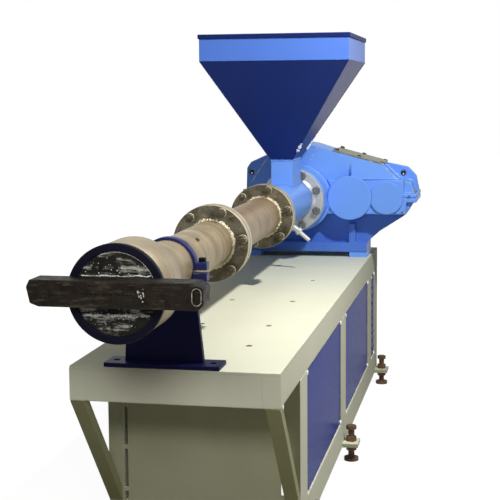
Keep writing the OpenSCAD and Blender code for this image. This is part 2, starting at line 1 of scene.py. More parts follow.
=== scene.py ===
"""Looks of a plastic pelletizing machine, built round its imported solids.

The machine is a single-screw extruder on a cream steel table: a strand die, a
flanged barrel, a square hopper and a blue gearbox. Lengths are in metres, and
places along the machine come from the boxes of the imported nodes.
"""

from __future__ import annotations

import logging
import math
import random
from dataclasses import dataclass
from enum import Enum
from typing import Any, Callable, Sequence

import bmesh
import bpy
from mathutils import Matrix, Vector

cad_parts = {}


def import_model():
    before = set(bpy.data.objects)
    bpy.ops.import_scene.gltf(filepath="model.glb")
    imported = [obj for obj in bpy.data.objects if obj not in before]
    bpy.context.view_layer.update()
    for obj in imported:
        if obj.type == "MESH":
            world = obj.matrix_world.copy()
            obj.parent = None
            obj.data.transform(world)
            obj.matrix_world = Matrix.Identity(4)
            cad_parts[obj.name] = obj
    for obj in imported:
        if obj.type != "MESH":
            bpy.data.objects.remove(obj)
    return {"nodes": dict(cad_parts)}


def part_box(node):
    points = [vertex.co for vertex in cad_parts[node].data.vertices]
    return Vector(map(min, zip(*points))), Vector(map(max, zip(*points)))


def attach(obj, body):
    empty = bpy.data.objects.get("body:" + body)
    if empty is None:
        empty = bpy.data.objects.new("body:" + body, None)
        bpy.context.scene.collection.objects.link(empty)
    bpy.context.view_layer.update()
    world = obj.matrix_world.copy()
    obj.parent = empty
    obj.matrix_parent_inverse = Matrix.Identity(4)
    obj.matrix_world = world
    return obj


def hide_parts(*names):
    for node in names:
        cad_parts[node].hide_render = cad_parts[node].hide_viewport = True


LOG = logging.getLogger("pelletizer")
BODY = "root"
CAMERA_REACH = (859.55, -3125.79, 751.92)

Colour = tuple[int, int, int]
Light = tuple[float, float, float, float]
Wanted = Callable[[Vector], bool]

# Colour of the painted shade, partly a dusty film, on faces that point to the die end.
SHADE_AND_DUST: Colour = (142, 141, 94)
OIL: Colour = (112, 106, 86)
OLD_OIL: Colour = (58, 53, 42)
RUBBED_IRON: Colour = (170, 164, 142)
# Linear light, because whole display steps are too coarse this near to black.
SOOT: Light = (0.005, 0.0045, 0.004, 1)
TAR: Light = (0.006, 0.0055, 0.005, 1)


def linear(colour: Colour) -> Light:
    """Turn a display colour into linear light.

    Args:
        colour: Red, green and blue from 0 to 255.

    Returns:
        The linear colour with an alpha of 1.
    """

    def channel(value: int) -> float:
        """Linear value of one channel."""
        share = value / 255
        return share / 12.92 if share <= 0.04045 else ((share + 0.055) / 1.055) ** 2.4

    return (channel(colour[0]), channel(colour[1]), channel(colour[2]), 1.0)


class Graph:
    """Adds and joins the nodes of one node tree."""

    def __init__(self, tree: bpy.types.NodeTree) -> None:
        """Start on an emptied tree."""
        self.tree = tree
        tree.nodes.clear()

    def add(self, kind: str, settings: dict[str, Any] | None = None,
            **inputs: Any) -> bpy.types.Node:
        """Add a node.

        Args:
            kind: Blender's name of the node's type.
            settings: Properties of the node.
            inputs: Input sockets by name, with underscores for spaces. A value
                is a number, a vector, a data block or an output socket.

        Returns:
            The new node.
        """
        node = self.tree.nodes.new(kind)
        for name, value in (settings or {}).items():
            setattr(node, name, value)
        for name, value in inputs.items():
            self.feed(node, name.replace("_", " "), value)
        return node

    def feed(self, node: bpy.types.Node, name: str | int, value: Any) -> None:
        """Set or join one input of a node.

        Args:
            node: The node whose input it is.
            name: The input's name or number.
            value: A plain value or an output socket.
        """
        if isinstance(name, int):
            socket = node.inputs[name]
        else:
            socket = next(s for s in node.inputs if s.name == name and s.enabled)
        if isinstance(value, bpy.types.NodeSocket):
            self.tree.links.new(value, socket)
        else:
            socket.default_value = value

    def math(self, operation: str, first: Any, second: Any,
             clamp: bool = False) -> bpy.types.NodeSocket:
        """Join two numbers with a Math node and return its output."""
        node = self.add("ShaderNodeMath", {"operation": operation, "use_clamp": clamp})
        self.feed(node, 0, first)
        self.feed(node, 1, second)
        return node.outputs[0]

    def times(self, first: Any, second: Any, clamp: bool = False) -> bpy.types.NodeSocket:
        """Product of two numbers."""
        return self.math("MULTIPLY", first, second, clamp)

    def plus(self, first: Any, second: Any, clamp: bool = False) -> bpy.types.NodeSocket:
        """Sum of two numbers."""
        return self.math("ADD", first, second, clamp)

    def noise(self, where: Any, scale: float, detail: float,
              rough: float) -> bpy.types.NodeSocket:
        """Noise at a place, as a number from 0 to 1."""
        node = self.add("ShaderNodeTexNoise", None, Vector=where, Scale=scale, Detail=detail,
                        Roughness=rough)
        return node.outputs[0]

    def stretch(self, where: Any, scale: Sequence[float]) -> bpy.types.NodeSocket:
        """Coordinates scaled by three factors."""
        node = self.add("ShaderNodeMapping", None, Vector=where, Scale=tuple(scale))
        return node.outputs[0]

    def ramp(self, value: Any, stops: Sequence[tuple[float, float]]) -> bpy.types.NodeSocket:
        """Reshape a number through grey stops.

        Args:
            value: The number or socket to reshape.
            stops: Positions and grey levels, in order.

        Returns:
            The socket of the reshaped number.
        """
        node = self.add("ShaderNodeValToRGB", None, Fac=value)
        band = node.color_ramp
        while len(band.elements) < len(stops):
            band.elements.new(0.5)
        for element, (place, level) in zip(band.elements, stops):
            element.position = place
            element.color = (level, level, level, 1)
        return node.outputs[0]

    def facing(self, axis: str, sign: float) -> bpy.types.NodeSocket:
        """Share that is 1 on faces that point along an axis of the machine."""
        normal = self.add("ShaderNodeTexCoord").outputs["Normal"]
        split = self.add("ShaderNodeSeparateXYZ", None, Vector=normal)
        return self.ramp(self.times(split.outputs[axis], sign), [(0.4, 0.0), (0.9, 1.0)])

    def worn_rim(self, radius: float) -> tuple[bpy.types.NodeSocket, bpy.types.NodeSocket]:
        """Find the edges of a piece with the Bevel node.

        Args:
            radius: How far from an edge its wear reaches.

        Returns:
            A share that is 1 on an edge, and the rounded normal.
        """
        edge = self.add("ShaderNodeBevel", {"samples": 4}, Radius=radius)
        flat = self.add("ShaderNodeNewGeometry")
        turn = self.add("ShaderNodeVectorMath", {"operation": "DOT_PRODUCT"})
        self.feed(turn, 0, edge.outputs[0])
        self.feed(turn, 1, flat.outputs["Normal"])
        rim = self.ramp(self.math("SUBTRACT", 1.0, turn.outputs["Value"]),
                        [(0.02, 0.0), (0.12, 1.0)])
        return rim, edge.outputs[0]

    def blend(self, share: Any, first: Any, second: Any) -> bpy.types.NodeSocket:
        """Mix two colours by a share and return the colour."""
        node = self.add("ShaderNodeMix", {"data_type": "RGBA"})
        self.feed(node, 0, share)
        self.feed(node, 6, first)
        self.feed(node, 7, second)
        return node.outputs[2]


@dataclass(frozen=True)
class Finish:
    """What every finish shares: a name and the material that it builds."""

    name: str

    def material(self) -> bpy.types.Material:
        """Material of this finish, built once and then reused."""
        found = bpy.data.materials.get(self.name)
        if found is not None:
            return found
        made = bpy.data.materials.new(self.name)
        made.use_nodes = True
        graph = Graph(made.node_tree)
        shader = graph.add("ShaderNodeBsdfPrincipled")
        output = graph.add("ShaderNodeOutputMaterial")
        graph.feed(output, "Surface", shader.outputs[0])
        where = graph.add("ShaderNodeTexCoord").outputs["Object"]
        self.dress(graph, shader, where)
        return made

    def dress(self, graph: Graph, shader: bpy.types.Node, where: bpy.types.NodeSocket) -> None:
        """Add this finish's own nodes."""
        raise NotImplementedError


@dataclass(frozen=True)
class Paint(Finish):
    """Sprayed machine paint with orange peel, worn edges and painted shade, partly a dusty film, on
    faces that point to the die end.
    """

    colour: Colour = (238, 238, 214)
    shade: Colour = (228, 227, 200)
    worn: Colour = (160, 148, 118)
    rough: float = 0.42
    coat: float = 0.0
    peel: float = 0.04
    wear: float = 0.35
    index: float = 1.08
    front_shade_and_dust: float = 0.0
    edge: float = 0.002

    def dress(self, graph: Graph, shader: bpy.types.Node, where: bpy.types.NodeSocket) -> None:
        """Mix the paint's tones, its dust and its worn edges."""
        cloud = graph.ramp(graph.noise(where, 3.2, 5.0, 0.6), [(0.35, 0.0), (0.72, 1.0)])
        grime = graph.ramp(graph.noise(where, 28.0, 6.0, 0.72), [(0.56, 0.0), (0.78, 1.0)])
        tone = graph.blend(graph.times(cloud, 0.5), linear(self.colour), linear(self.shade))
        tone = graph.blend(graph.times(grime, 0.22), tone, linear(self.shade))
        # Painted shade, partly a dusty film, on the faces that point to the die end.
        if self.front_shade_and_dust > 0:
            tone = self.shade_front(graph, tone, cloud)
        rim, normal = graph.worn_rim(self.edge)
        patchy = graph.ramp(graph.noise(where, 60.0, 4.0, 0.7), [(0.5, 0.0), (0.64, 1.0)])
        chip = graph.times(graph.times(rim, patchy), self.wear, True)
        tone = graph.blend(chip, tone, linear(self.worn))
        graph.feed(shader, "Base Color", tone)
        rough = graph.plus(graph.times(grime, 0.18), self.rough)
        graph.feed(shader, "Roughness", graph.plus(rough, graph.times(chip, 0.2), True))
        shader.inputs["IOR"].default_value = self.index
        shader.inputs["Coat Weight"].default_value = self.coat
        shader.inputs["Coat Roughness"].default_value = 0.12
        peel = graph.noise(where, 420.0, 2.0, 0.5)
        sag = graph.noise(where, 16.0, 3.0, 0.5)
        height = graph.plus(graph.times(peel, 0.25), sag)
        bump = graph.add("ShaderNodeBump", None, Strength=self.peel, Distance=0.004, Height=height)
        graph.feed(bump, "Normal", normal)
        graph.feed(shader, "Normal", bump.outputs[0])

    def shade_front(self, graph: Graph, tone: bpy.types.NodeSocket,
             cloud: bpy.types.NodeSocket) -> bpy.types.NodeSocket:
        """Darken the faces that point to the die end: painted shade, partly a dusty film."""
        share = graph.times(graph.facing("Y", -1.0),
                           graph.plus(graph.times(cloud, 0.2), 0.85))
        return graph.blend(graph.times(share, self.front_shade_and_dust, True), tone, linear(SHADE_AND_DUST))


@dataclass(frozen=True)
class TurnedSteel(Finish):
    """Heat-tinted steel shell with fine rings round the machine's long axis."""

    colour: Colour = (192, 178, 144)
    tint: Colour = (134, 116, 86)
    stain: Colour = (88, 72, 50)
    rings: float = 300.0
    rough: float = 0.48
    metal: float = 0.35

    def dress(self, graph: Graph, shader: bpy.types.Node, where: bpy.types.NodeSocket) -> None:
        """Lay the rings, the broad heat stains and small scratches."""
        fine = graph.noise(graph.stretch(where, (4.0, self.rings, 4.0)), 1.0, 4.0, 0.65)
        broad = graph.noise(graph.stretch(where, (2.5, 22.0, 2.5)), 1.0, 3.0, 0.55)
        stain = graph.ramp(graph.noise(where, 9.0, 5.0, 0.62), [(0.45, 0.0), (0.75, 1.0)])
        fleck = graph.ramp(graph.noise(where, 170.0, 3.0, 0.6), [(0.68, 0.0), (0.76, 1.0)])
        share = graph.plus(graph.times(fine, 0.45), graph.times(broad, 0.6))
        share = graph.ramp(share, [(0.34, 0.0), (0.74, 1.0)])
        tone = graph.blend(share, linear(self.tint), linear(self.colour))
        tone = graph.blend(graph.times(stain, 0.5), tone, linear(self.stain))
        tone = graph.blend(graph.times(fleck, 0.3), tone, (0.03, 0.022, 0.015, 1))
        graph.feed(shader, "Base Color", tone)
        shader.inputs["Metallic"].default_value = self.metal
        rough = graph.plus(graph.times(stain, 0.12), self.rough)
        graph.feed(shader, "Roughness", graph.math("SUBTRACT", rough, graph.times(fine, 0.1)))
        bump = graph.add("ShaderNodeBump", None, Strength=0.2, Distance=0.0006, Height=fine)
        graph.feed(shader, "Normal", bump.outputs[0])


@dataclass(frozen=True)
class PlainSteel(Finish):
    """Bare or oily steel, cast or machined, with stains and dents."""

    colour: Colour = (196, 186, 158)
    stain: Colour = (140, 128, 102)
    rubbed: Colour = (206, 198, 174)
    rough: float = 0.42
    metal: float = 0.7
    stains: float = 0.6
    dents: float = 0.2
    edge: float = 0.001
    oily_front: float = 0.0

    def dress(self, graph: Graph, shader: bpy.types.Node, where: bpy.types.NodeSocket) -> None:
        """Mix clean steel with its stains, its rubbed spots and bright edges."""
        dirt = graph.ramp(graph.noise(where, 22.0, 7.0, 0.68), [(0.36, 0.0), (0.66, 1.0)])
        speck = graph.noise(where, 240.0, 3.0, 0.6)
        smear = graph.ramp(graph.noise(graph.stretch(where, (30.0, 30.0, 52.0)), 1.0, 5.0, 0.6),
                           [(0.6, 0.0), (0.72, 1.0)])
        tone = graph.blend(graph.times(dirt, self.stains), linear(self.colour), linear(self.stain))
        if self.oily_front > 0:
            oil = graph.blend(dirt, linear(OIL), linear(OLD_OIL))
            share = graph.times(graph.facing("Y", -1.0), self.oily_front)
            tone = graph.blend(share, tone, oil)
        tone = graph.blend(graph.times(smear, 0.4), tone, linear(self.rubbed))
        rim, normal = graph.worn_rim(self.edge)
        tone = graph.blend(graph.times(rim, 0.6), tone, linear(self.rubbed))
        graph.feed(shader, "Base Color", tone)
        shader.inputs["Metallic"].default_value = self.metal
        graph.feed(shader, "Roughness", graph.plus(graph.times(dirt, 0.22), self.rough))
        height = graph.plus(graph.times(speck, 0.3), dirt)
        bump = graph.add("ShaderNodeBump", None, Strength=self.dents, Distance=0.001, Height=height)
        graph.feed(bump, "Normal", normal)
        graph.feed(shader, "Normal", bump.outputs[0])


@dataclass(frozen=True)
class SmearedIron(Finish):
    """Near-black oily iron with burnt plastic and bright scraped streaks."""

    colour: Colour = (38, 37, 33)
    scrape: Colour = (176, 174, 162)
    scraped: float = 0.85
    rubbed: float = 0.3
    soot: float = 0.0
    edge: float = 0.002

    def dress(self, graph: Graph, shader: bpy.types.Node, where: bpy.types.NodeSocket) -> None:
        """Lay horizontal scrapes and lumps of residue over the iron."""
        streak = graph.noise(graph.stretch(where, (14.0, 60.0, 90.0)), 1.0, 7.0, 0.72)
        lump = graph.noise(where, 40.0, 6.0, 0.66)
        bright = graph.ramp(streak, [(0.5, 0.0), (0.62, 1.0)])
        patch = graph.ramp(graph.noise(where, 24.0, 5.0, 0.6), [(0.44, 0.0), (0.56, 1.0)])
        share = graph.times(graph.times(bright, patch), self.scraped, True)
        dark = graph.ramp(lump, [(0.3, 0.0), (0.7, 1.0)])
        tone = graph.blend(dark, TAR, linear(self.colour))
        tone = graph.blend(share, tone, linear(self.scrape))
        if self.soot > 0:
            tone = graph.blend(graph.times(graph.facing("Z", 1.0), self.soot), tone, SOOT)
        rim, normal = graph.worn_rim(self.edge)
        tone = graph.blend(graph.times(rim, self.rubbed), tone, linear(RUBBED_IRON))
        graph.feed(shader, "Base Color", tone)
        shader.inputs["Metallic"].default_value = 0.15
        shader.inputs["IOR"].default_value = 1.14
        graph.feed(shader, "Roughness", graph.ramp(lump, [(0.3, 0.3), (0.7, 0.6)]))
        height = graph.plus(graph.times(streak, 0.5), lump)
        bump = graph.add("ShaderNodeBump", None, Strength=0.6, Distance=0.005, Height=height)
        graph.feed(bump, "Normal", normal)
        graph.feed(shader, "Normal", bump.outputs[0])


# The cream paints are one paint with more or less painted shade on the faces that point to the die
# end.
CREAM = Paint("cream_paint", rough=0.75, front_shade_and_dust=0.6)
RAIL = Paint("cream_rail_paint", shade=(230, 229, 202), rough=0.75, front_shade_and_dust=0.1)
# The same cream, darkened as painted shade on the braces: darker all over, and most on faces that
# point to the die end.
SHADED_BRACE = Paint("cream_brace_paint", colour=(190, 189, 152), shade=(180, 179, 140), rough=0.75,
              front_shade_and_dust=0.98)
PANEL = Paint("panel_blue_paint", colour=(30, 56, 156), shade=(25, 46, 130), worn=(150, 160, 190),
              rough=0.26, peel=0.03, wear=0.3, index=1.035)
# Its near-white worn edges are partly worn paint and partly painted highlight along the edges.
BLUE = Paint("machine_blue_paint", colour=(122, 172, 255), shade=(108, 158, 252),
             worn=(230, 238, 252), rough=0.4, coat=0.08, peel=0.14, wear=1.0, index=1.2)
NAVY = Paint("navy_paint", colour=(11, 12, 28), shade=(7, 8, 19), worn=(80, 84, 120), peel=0.1,
             wear=0.6, index=1.15)
BAND = Paint("hopper_band_paint", colour=(94, 138, 232), shade=(84, 126, 220),
             worn=(215, 228, 250), rough=0.4, coat=0.08, peel=0.12, wear=0.8, index=1.2)
# Darker copy of the machine blue: painted shade on the pedestal under the gearbox's overhang.
SHADED_PEDESTAL = Paint("pedestal_blue_paint", colour=(90, 134, 226), shade=(66, 104, 194),
                 worn=(215, 228, 250), coat=0.08, peel=0.14, wear=0.8, index=1.2)
CLAMP = Paint("clamp_blue_paint", colour=(38, 44, 104), shade=(24, 27, 66), worn=(130, 136, 180),
              rough=0.4, coat=0.08, peel=0.1, wear=0.8, index=1.25)
STAND = Paint("stand_navy_paint", colour=(18, 20, 62), shade=(12, 12, 44), worn=(120, 130, 190),
              peel=0.1, wear=0.5, index=1.15)
CONE = Paint("hopper_cone_paint", colour=(30, 52, 124), shade=(24, 42, 98), worn=(120, 140, 200),
             peel=0.08, wear=0.4, index=1.25)
HOPPER_RIM = Paint("hopper_rim_paint", colour=(30, 46, 112), shade=(24, 36, 96),
                   worn=(120, 140, 200), rough=0.5, peel=0.06, wear=0.4, index=1.15)
SHELL = TurnedSteel("barrel_shell_steel")
HOT_SHELL = TurnedSteel("middle_shell_steel", colour=(172, 152, 120), tint=(120, 100, 72),
                        stain=(80, 64, 44))
FRONT_SHELL = TurnedSteel("front_shell_steel", colour=(180, 163, 130), tint=(126, 108, 78),
                          stain=(84, 68, 46))
FLANGE = PlainSteel("flange_steel", dents=0.4, edge=0.0015, oily_front=1.0)
RIM = PlainSteel("flange_rim_steel", rubbed=(224, 216, 194), rough=0.38, stains=0.5, edge=0.0015)
PALE = PlainSteel("gearbox_flange_steel", colour=(196, 198, 194), stain=(160, 160, 152),
                  rubbed=(236, 236, 230), rough=0.4, metal=0.4, stains=0.4, edge=0.0015)
PLATE = PlainSteel("cover_plate_steel", colour=(146, 148, 130), stain=(104, 104, 88),
                   rubbed=(190, 190, 170), rough=0.5, metal=0.4, stains=0.5, edge=0.0015)
NUT = PlainSteel("oily_nut_steel", colour=(84, 76, 58), stain=(40, 36, 28),
                 rubbed=(160, 152, 128), rough=0.34, metal=0.75)
BOLT = PlainSteel("dark_bolt_steel", colour=(112, 116, 118), stain=(80, 82, 82),
                  rubbed=(176, 180, 182), metal=0.4, stains=0.4)
ZINC = PlainSteel("zinc_steel", colour=(222, 222, 216), stain=(184, 182, 172),
                  rubbed=(246, 246, 242), rough=0.26, stains=0.3, dents=0.15)
RUST = PlainSteel("rusty_steel", colour=(120, 94, 70), stain=(74, 54, 38), rubbed=(160, 128, 96),
                  rough=0.62, metal=0.3, stains=0.8, dents=0.6)
BEAD = PlainSteel("weld_bead_steel", colour=(206, 196, 170), stain=(140, 124, 96),
                  rubbed=(240, 234, 214), rough=0.36, metal=0.6, dents=0.5)
# Near-white: worn paint and painted glints on the gearbox's edges, and bright weld spatter on the
# hopper.
CHIP_AND_GLINT = PlainSteel("worn_paint_edge", colour=(240, 245, 255), stain=(222, 232, 250),
                  rubbed=(252, 253, 255), rough=0.5, metal=0.0, stains=0.3, dents=0.1,
                  edge=0.0005)
# Near-black: the dark joints between flange halves, and painted shade down in the cable and lug
# holes.
DARK_JOINT_AND_HOLE_SHADE = PlainSteel("joint_gap", colour=(22, 19, 15), stain=(12, 10, 8), rubbed=(60, 54, 44),
                 rough=0.7, metal=0.0, stains=0.5)
IRON = SmearedIron("smeared_iron")
BAR = SmearedIron("die_bar_iron", colour=(42, 35, 27), scrape=(104, 95, 80), scraped=0.35,
                  rubbed=0.12, soot=0.5)
RESIDUE = PlainSteel("burnt_residue", colour=(232, 230, 220), stain=(120, 116, 104),
                     rubbed=(250, 250, 246), rough=0.4, metal=0.1, stains=0.8, dents=0.6)


class Facing(Enum):
    """Ways that a fastener's head can point."""

    FRONT = (0.0, -1.0, 0.0)
    BACK = (0.0, 1.0, 0.0)
    LEFT = (-1.0, 0.0, 0.0)
    RIGHT = (1.0, 0.0, 0.0)
    UP = (0.0, 0.0, 1.0)
    DOWN = (0.0, 0.0, -1.0)


def spot(node: str) -> tuple[Vector, Vector, Vector]:
    """Lowest corner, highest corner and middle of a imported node."""
    low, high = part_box(node)
    return low, high, (low + high) / 2


def on_table(x: float, y: float, z: float) -> Vector:
    """Point by its distances from the table's front edge.

    Args:
        x: Millimetres to the right of the table's middle.
        y: Millimetres back from its front edge.
        z: Millimetres above its top.

    Returns:
        The point in metres.
    """
    low, high, middle = spot("table_top")
    return Vector((middle.x + x / 1000, low.y + y / 1000, high.z + z / 1000))


def put(name: str, data: bpy.types.ID) -> bpy.types.Object:
    """Make an object of some data and link it to the scene."""
    made = bpy.data.objects.new(name, data)
    bpy.context.scene.collection.objects.link(made)
    return made


def new_piece(name: str, shape: bmesh.types.BMesh) -> bpy.types.Object:
    """Turn a bmesh into an object at the origin."""
    mesh = bpy.data.meshes.new(name)
    bmesh.ops.recalc_face_normals(shape, faces=shape.faces)
    shape.to_mesh(mesh)
    shape.free()
    return put(name, mesh)


def baked(piece: bpy.types.Object) -> bpy.types.Object:
    """Apply a piece's modifiers and return it."""
    graph = bpy.context.evaluated_depsgraph_get()
    made = bpy.data.meshes.new_from_object(piece.evaluated_get(graph))
    piece.modifiers.clear()
    piece.data = made
    return piece


def keep(piece: bpy.types.Object, finish: Finish, angle: float = 32.0) -> bpy.types.Object:
    """Give a finished mesh its material and shading and fix it to the machine.

    Args:
        piece: Mesh object with its place in its mesh.
        finish: What it is made of.
        angle: Largest angle in degrees that is still shaded smooth.

    Returns:
        The same object.
    """
    mesh = piece.data
    if "custom_normal" in mesh.attributes:
        mesh.attributes.remove(mesh.attributes["custom_normal"])
    mesh.materials.clear()
    mesh.materials.append(finish.material())
    mesh.polygons.foreach_set("material_index", [0] * len(mesh.polygons))
    mesh.polygons.foreach_set("use_smooth", [True] * len(mesh.polygons))
    mesh.set_sharp_from_angle(angle=math.radians(angle))
    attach(piece, BODY)
    LOG.info("%s: %d faces", piece.name, len(mesh.polygons))
    return piece


def smooth_faces(mesh: bpy.types.Mesh) -> list[bool]:
    """Choose the faces that are shaded smooth.

    Args:
        mesh: Mesh whose rounded edges have the second material.

    Returns:
        True for each face on a rounded edge or on a curved side.
    """
    shape = bmesh.new()
    shape.from_mesh(mesh)
    chosen: list[bool] = []
    for face in shape.faces:
        curved = face.material_index == 1
        for edge in face.edges:
            if curved or len(edge.link_faces) != 2:
                continue
            other = edge.link_faces[0] if edge.link_faces[1] is face else edge.link_faces[1]
            bend = edge.calc_face_angle(0.0)
            curved = other.material_index == 0 and 0.01 < bend < math.radians(30)
        chosen.append(curved)
    shape.free()
    return chosen


def soften(node: str, finish: Finish, radius: float, wanted: Wanted | None = None,
           segments: int = 2) -> None:
    """Replace a node by a copy of it with rounded edges.

    Args:
        node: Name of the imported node.
        finish: What it is made of.
        radius: Radius of its edges.
        wanted: Tells from an edge's middle if that edge is rounded.
        segments: Faces across each rounded edge.
    """
    shape = bmesh.new()
    shape.from_mesh(bpy.data.objects[node].data)
    bmesh.ops.remove_doubles(shape, verts=shape.verts, dist=0.00002)
    bmesh.ops.dissolve_limit(shape, angle_limit=math.radians(0.4), verts=shape.verts,
                             edges=shape.edges)
    weight = shape.edges.layers.float.new("bevel_weight_edge")
    for edge in shape.edges:
        if len(edge.link_faces) != 2:
            continue
        middle = (edge.verts[0].co + edge.verts[1].co) / 2
        sharp = edge.calc_face_angle(0.0) > math.radians(28)
        if sharp and (wanted is None or wanted(middle)):
            edge[weight] = 1.0
    mesh = bpy.data.meshes.new(node + "_dressed")
    shape.to_mesh(mesh)
    shape.free()
    piece = put(node + "_dressed", mesh)
    bevel = piece.modifiers.new("edges", "BEVEL")
    bevel.limit_method = "WEIGHT"
    bevel.width = radius
    bevel.segments = segments
    bevel.use_clamp_overlap = False
    bevel.material = 1
    for _ in range(2):
        mesh.materials.append(finish.material())
    smooth = smooth_faces(baked(piece).data)
    keep(piece, finish)
    piece.data.polygons.foreach_set("use_smooth", smooth)
    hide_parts(node)


def dress_node(node: str, finish: Finish) -> None:
    """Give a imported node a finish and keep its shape."""
    target = bpy.data.objects[node]
    target.data.materials.clear()
    target.data.materials.append(finish.material())
    LOG.info("%s: finished as it is", node)


@dataclass(frozen=True)
class Place:
    """Where one part sits: its seat, the way it points, its turn and its size."""

    seat: Vector
    facing: Sequence[float]
    turn: float = 0.0
    size: float = 1.0


def new_tree(name: str, inputs: dict[str, str], output: str) -> bpy.types.NodeTree:
    """Start a node tree with named sockets.

    Args:
        name: Name of the tree.
        inputs: Kind of each input socket, by its name.
        output: Name of the geometry that comes out.

    Returns:
        The tree, with no nodes in it.
    """
    tree = bpy.data.node_groups.new(name, "GeometryNodeTree")
    for label, kind in inputs.items():
        tree.interface.new_socket(label, in_out="INPUT", socket_type="NodeSocket" + kind)
    tree.interface.new_socket(output, in_out="OUTPUT", socket_type="NodeSocketGeometry")
    return tree


def end_tree(graph: Graph, source: bpy.types.Node, put_on: bpy.types.Node) -> None:
    """Realize a tree's instances, give them their finish and lead them out."""
    real = graph.add("GeometryNodeRealizeInstances", None, Geometry=put_on.outputs[0])
    final = graph.add("GeometryNodeSetMaterial", None, Geometry=real.outputs[0],
                      Material=source.outputs["Finish"])
    graph.feed(graph.add("NodeGroupOutput"), 0, final.outputs[0])


def spread_tree() -> bpy.types.NodeTree:
    """Node tree that puts a part on every point of a mesh, turned by its attributes."""
    found = bpy.data.node_groups.get("spread_parts")
    if found is not None:
        return found
    tree = new_tree("spread_parts", {"Seats": "Geometry", "Part": "Object", "Finish": "Material"},
                    "Parts")
    graph = Graph(tree)
    source = graph.add("NodeGroupInput")
    named = {label: graph.add("GeometryNodeInputNamedAttribute", {"data_type": kind}, Name=label)
             for label, kind in (("facing", "FLOAT_VECTOR"), ("turn", "FLOAT"), ("size", "FLOAT"))}
    aim = graph.add("FunctionNodeAlignRotationToVector", {"axis": "Z"},
                    Vector=named["facing"].outputs[0])
    about = graph.add("FunctionNodeAxisAngleToRotation", None, Axis=(0, 0, 1),
                      Angle=named["turn"].outputs[0])
    both = graph.add("FunctionNodeRotateRotation", {"rotation_space": "LOCAL"},
                     Rotation=aim.outputs[0], Rotate_By=about.outputs[0])
    part = graph.add("GeometryNodeObjectInfo", None, Object=source.outputs["Part"])
    end_tree(graph, source, graph.add(
        "GeometryNodeInstanceOnPoints", None, Points=source.outputs["Seats"],
        Instance=part.outputs["Geometry"], Rotation=both.outputs[0],
        Scale=named["size"].outputs[0]))
    return tree


def bead_tree() -> bpy.types.NodeTree:
    """Node tree that lays overlapping weld ripples along a path."""
    found = bpy.data.node_groups.get("weld_bead")
    if found is not None:
        return found
    tree = new_tree("weld_bead", {"Path": "Geometry", "Pitch": "Float", "Width": "Float",
                                  "Unevenness": "Float", "Seed": "Int", "Finish": "Material"},
                    "Bead")
    graph = Graph(tree)
    source = graph.add("NodeGroupInput")
    curve = graph.add("GeometryNodeMeshToCurve", None, Mesh=source.outputs["Path"])
    even = graph.add("GeometryNodeResampleCurve", None, Curve=curve.outputs[0])
    if hasattr(even, "mode"):
        even.mode = "LENGTH"
    graph.feed(even, "Length", source.outputs["Pitch"])
    tangent = graph.add("GeometryNodeInputTangent")
    aim = graph.add("FunctionNodeAlignRotationToVector", {"axis": "Z"}, Vector=tangent.outputs[0])
    size = graph.add("FunctionNodeRandomValue", {"data_type": "FLOAT"})
    for socket, step in ((2, "SUBTRACT"), (3, "ADD")):
        graph.feed(size, socket,
                   graph.math(step, source.outputs["Width"], source.outputs["Unevenness"]))
    graph.feed(size, "Seed", source.outputs["Seed"])
    blob = graph.add("GeometryNodeMeshUVSphere", None, Segments=10, Rings=6, Radius=1.0)
    flat = graph.add("GeometryNodeTransform", None, Geometry=blob.outputs[0],
                     Scale=(1.0, 1.0, 0.62))
    end_tree(graph, source, graph.add(
        "GeometryNodeInstanceOnPoints", None, Points=even.outputs[0], Instance=flat.outputs[0],
        Rotation=aim.outputs[0], Scale=size.outputs[1]))
    return tree


def grown(name: str, mesh: bpy.types.Mesh, tree: bpy.types.NodeTree,
          values: dict[str, Any]) -> bpy.types.Object:
    """Run a node tree on a mesh and bake the result.

    Args:
        name: Name of the piece that is made.
        mesh: Points or paths that the tree works on.
        tree: The Geometry Nodes tree.
        values: Its inputs by name.

    Returns:
        An object with a plain mesh.
    """
    piece = put(name, mesh)
    modifier = piece.modifiers.new(tree.name, "NODES")
    modifier.node_group = tree
    for item in tree.interface.items_tree:
        if item.item_type == "SOCKET" and item.in_out == "INPUT" and item.name in values:
            modifier[item.identifier] = values[item.name]
    return baked(piece)


def weld(name: str, paths: Sequence[Sequence[Vector]], finish: Finish, width: float,
         uneven: float, seed: int = 1) -> None:
    """Lay weld beads along paths with Geometry Nodes.

    Args:
        name: Name of the piece that is made.
        paths: Lines of points that the beads follow.
        finish: What the beads are made of.
        width: Half-width of a bead.
        uneven: How far the ripples differ from that half-width.
        seed: Seed of their sizes.
    """
    points: list[tuple[float, float, float]] = []
    edges: list[tuple[int, int]] = []
    for path in paths:
        start = len(points)
        points.extend(tuple(p) for p in path)
        edges.extend((start + i, start + i + 1) for i in range(len(path) - 1))
    mesh = bpy.data.meshes.new(name)
    mesh.from_pydata(points, edges, [])
    piece = grown(name, mesh, bead_tree(), {"Pitch": width * 0.8, "Width": width,
                                            "Unevenness": uneven, "Seed": seed,
                                            "Finish": finish.material()})
    keep(piece, finish, 60.0)


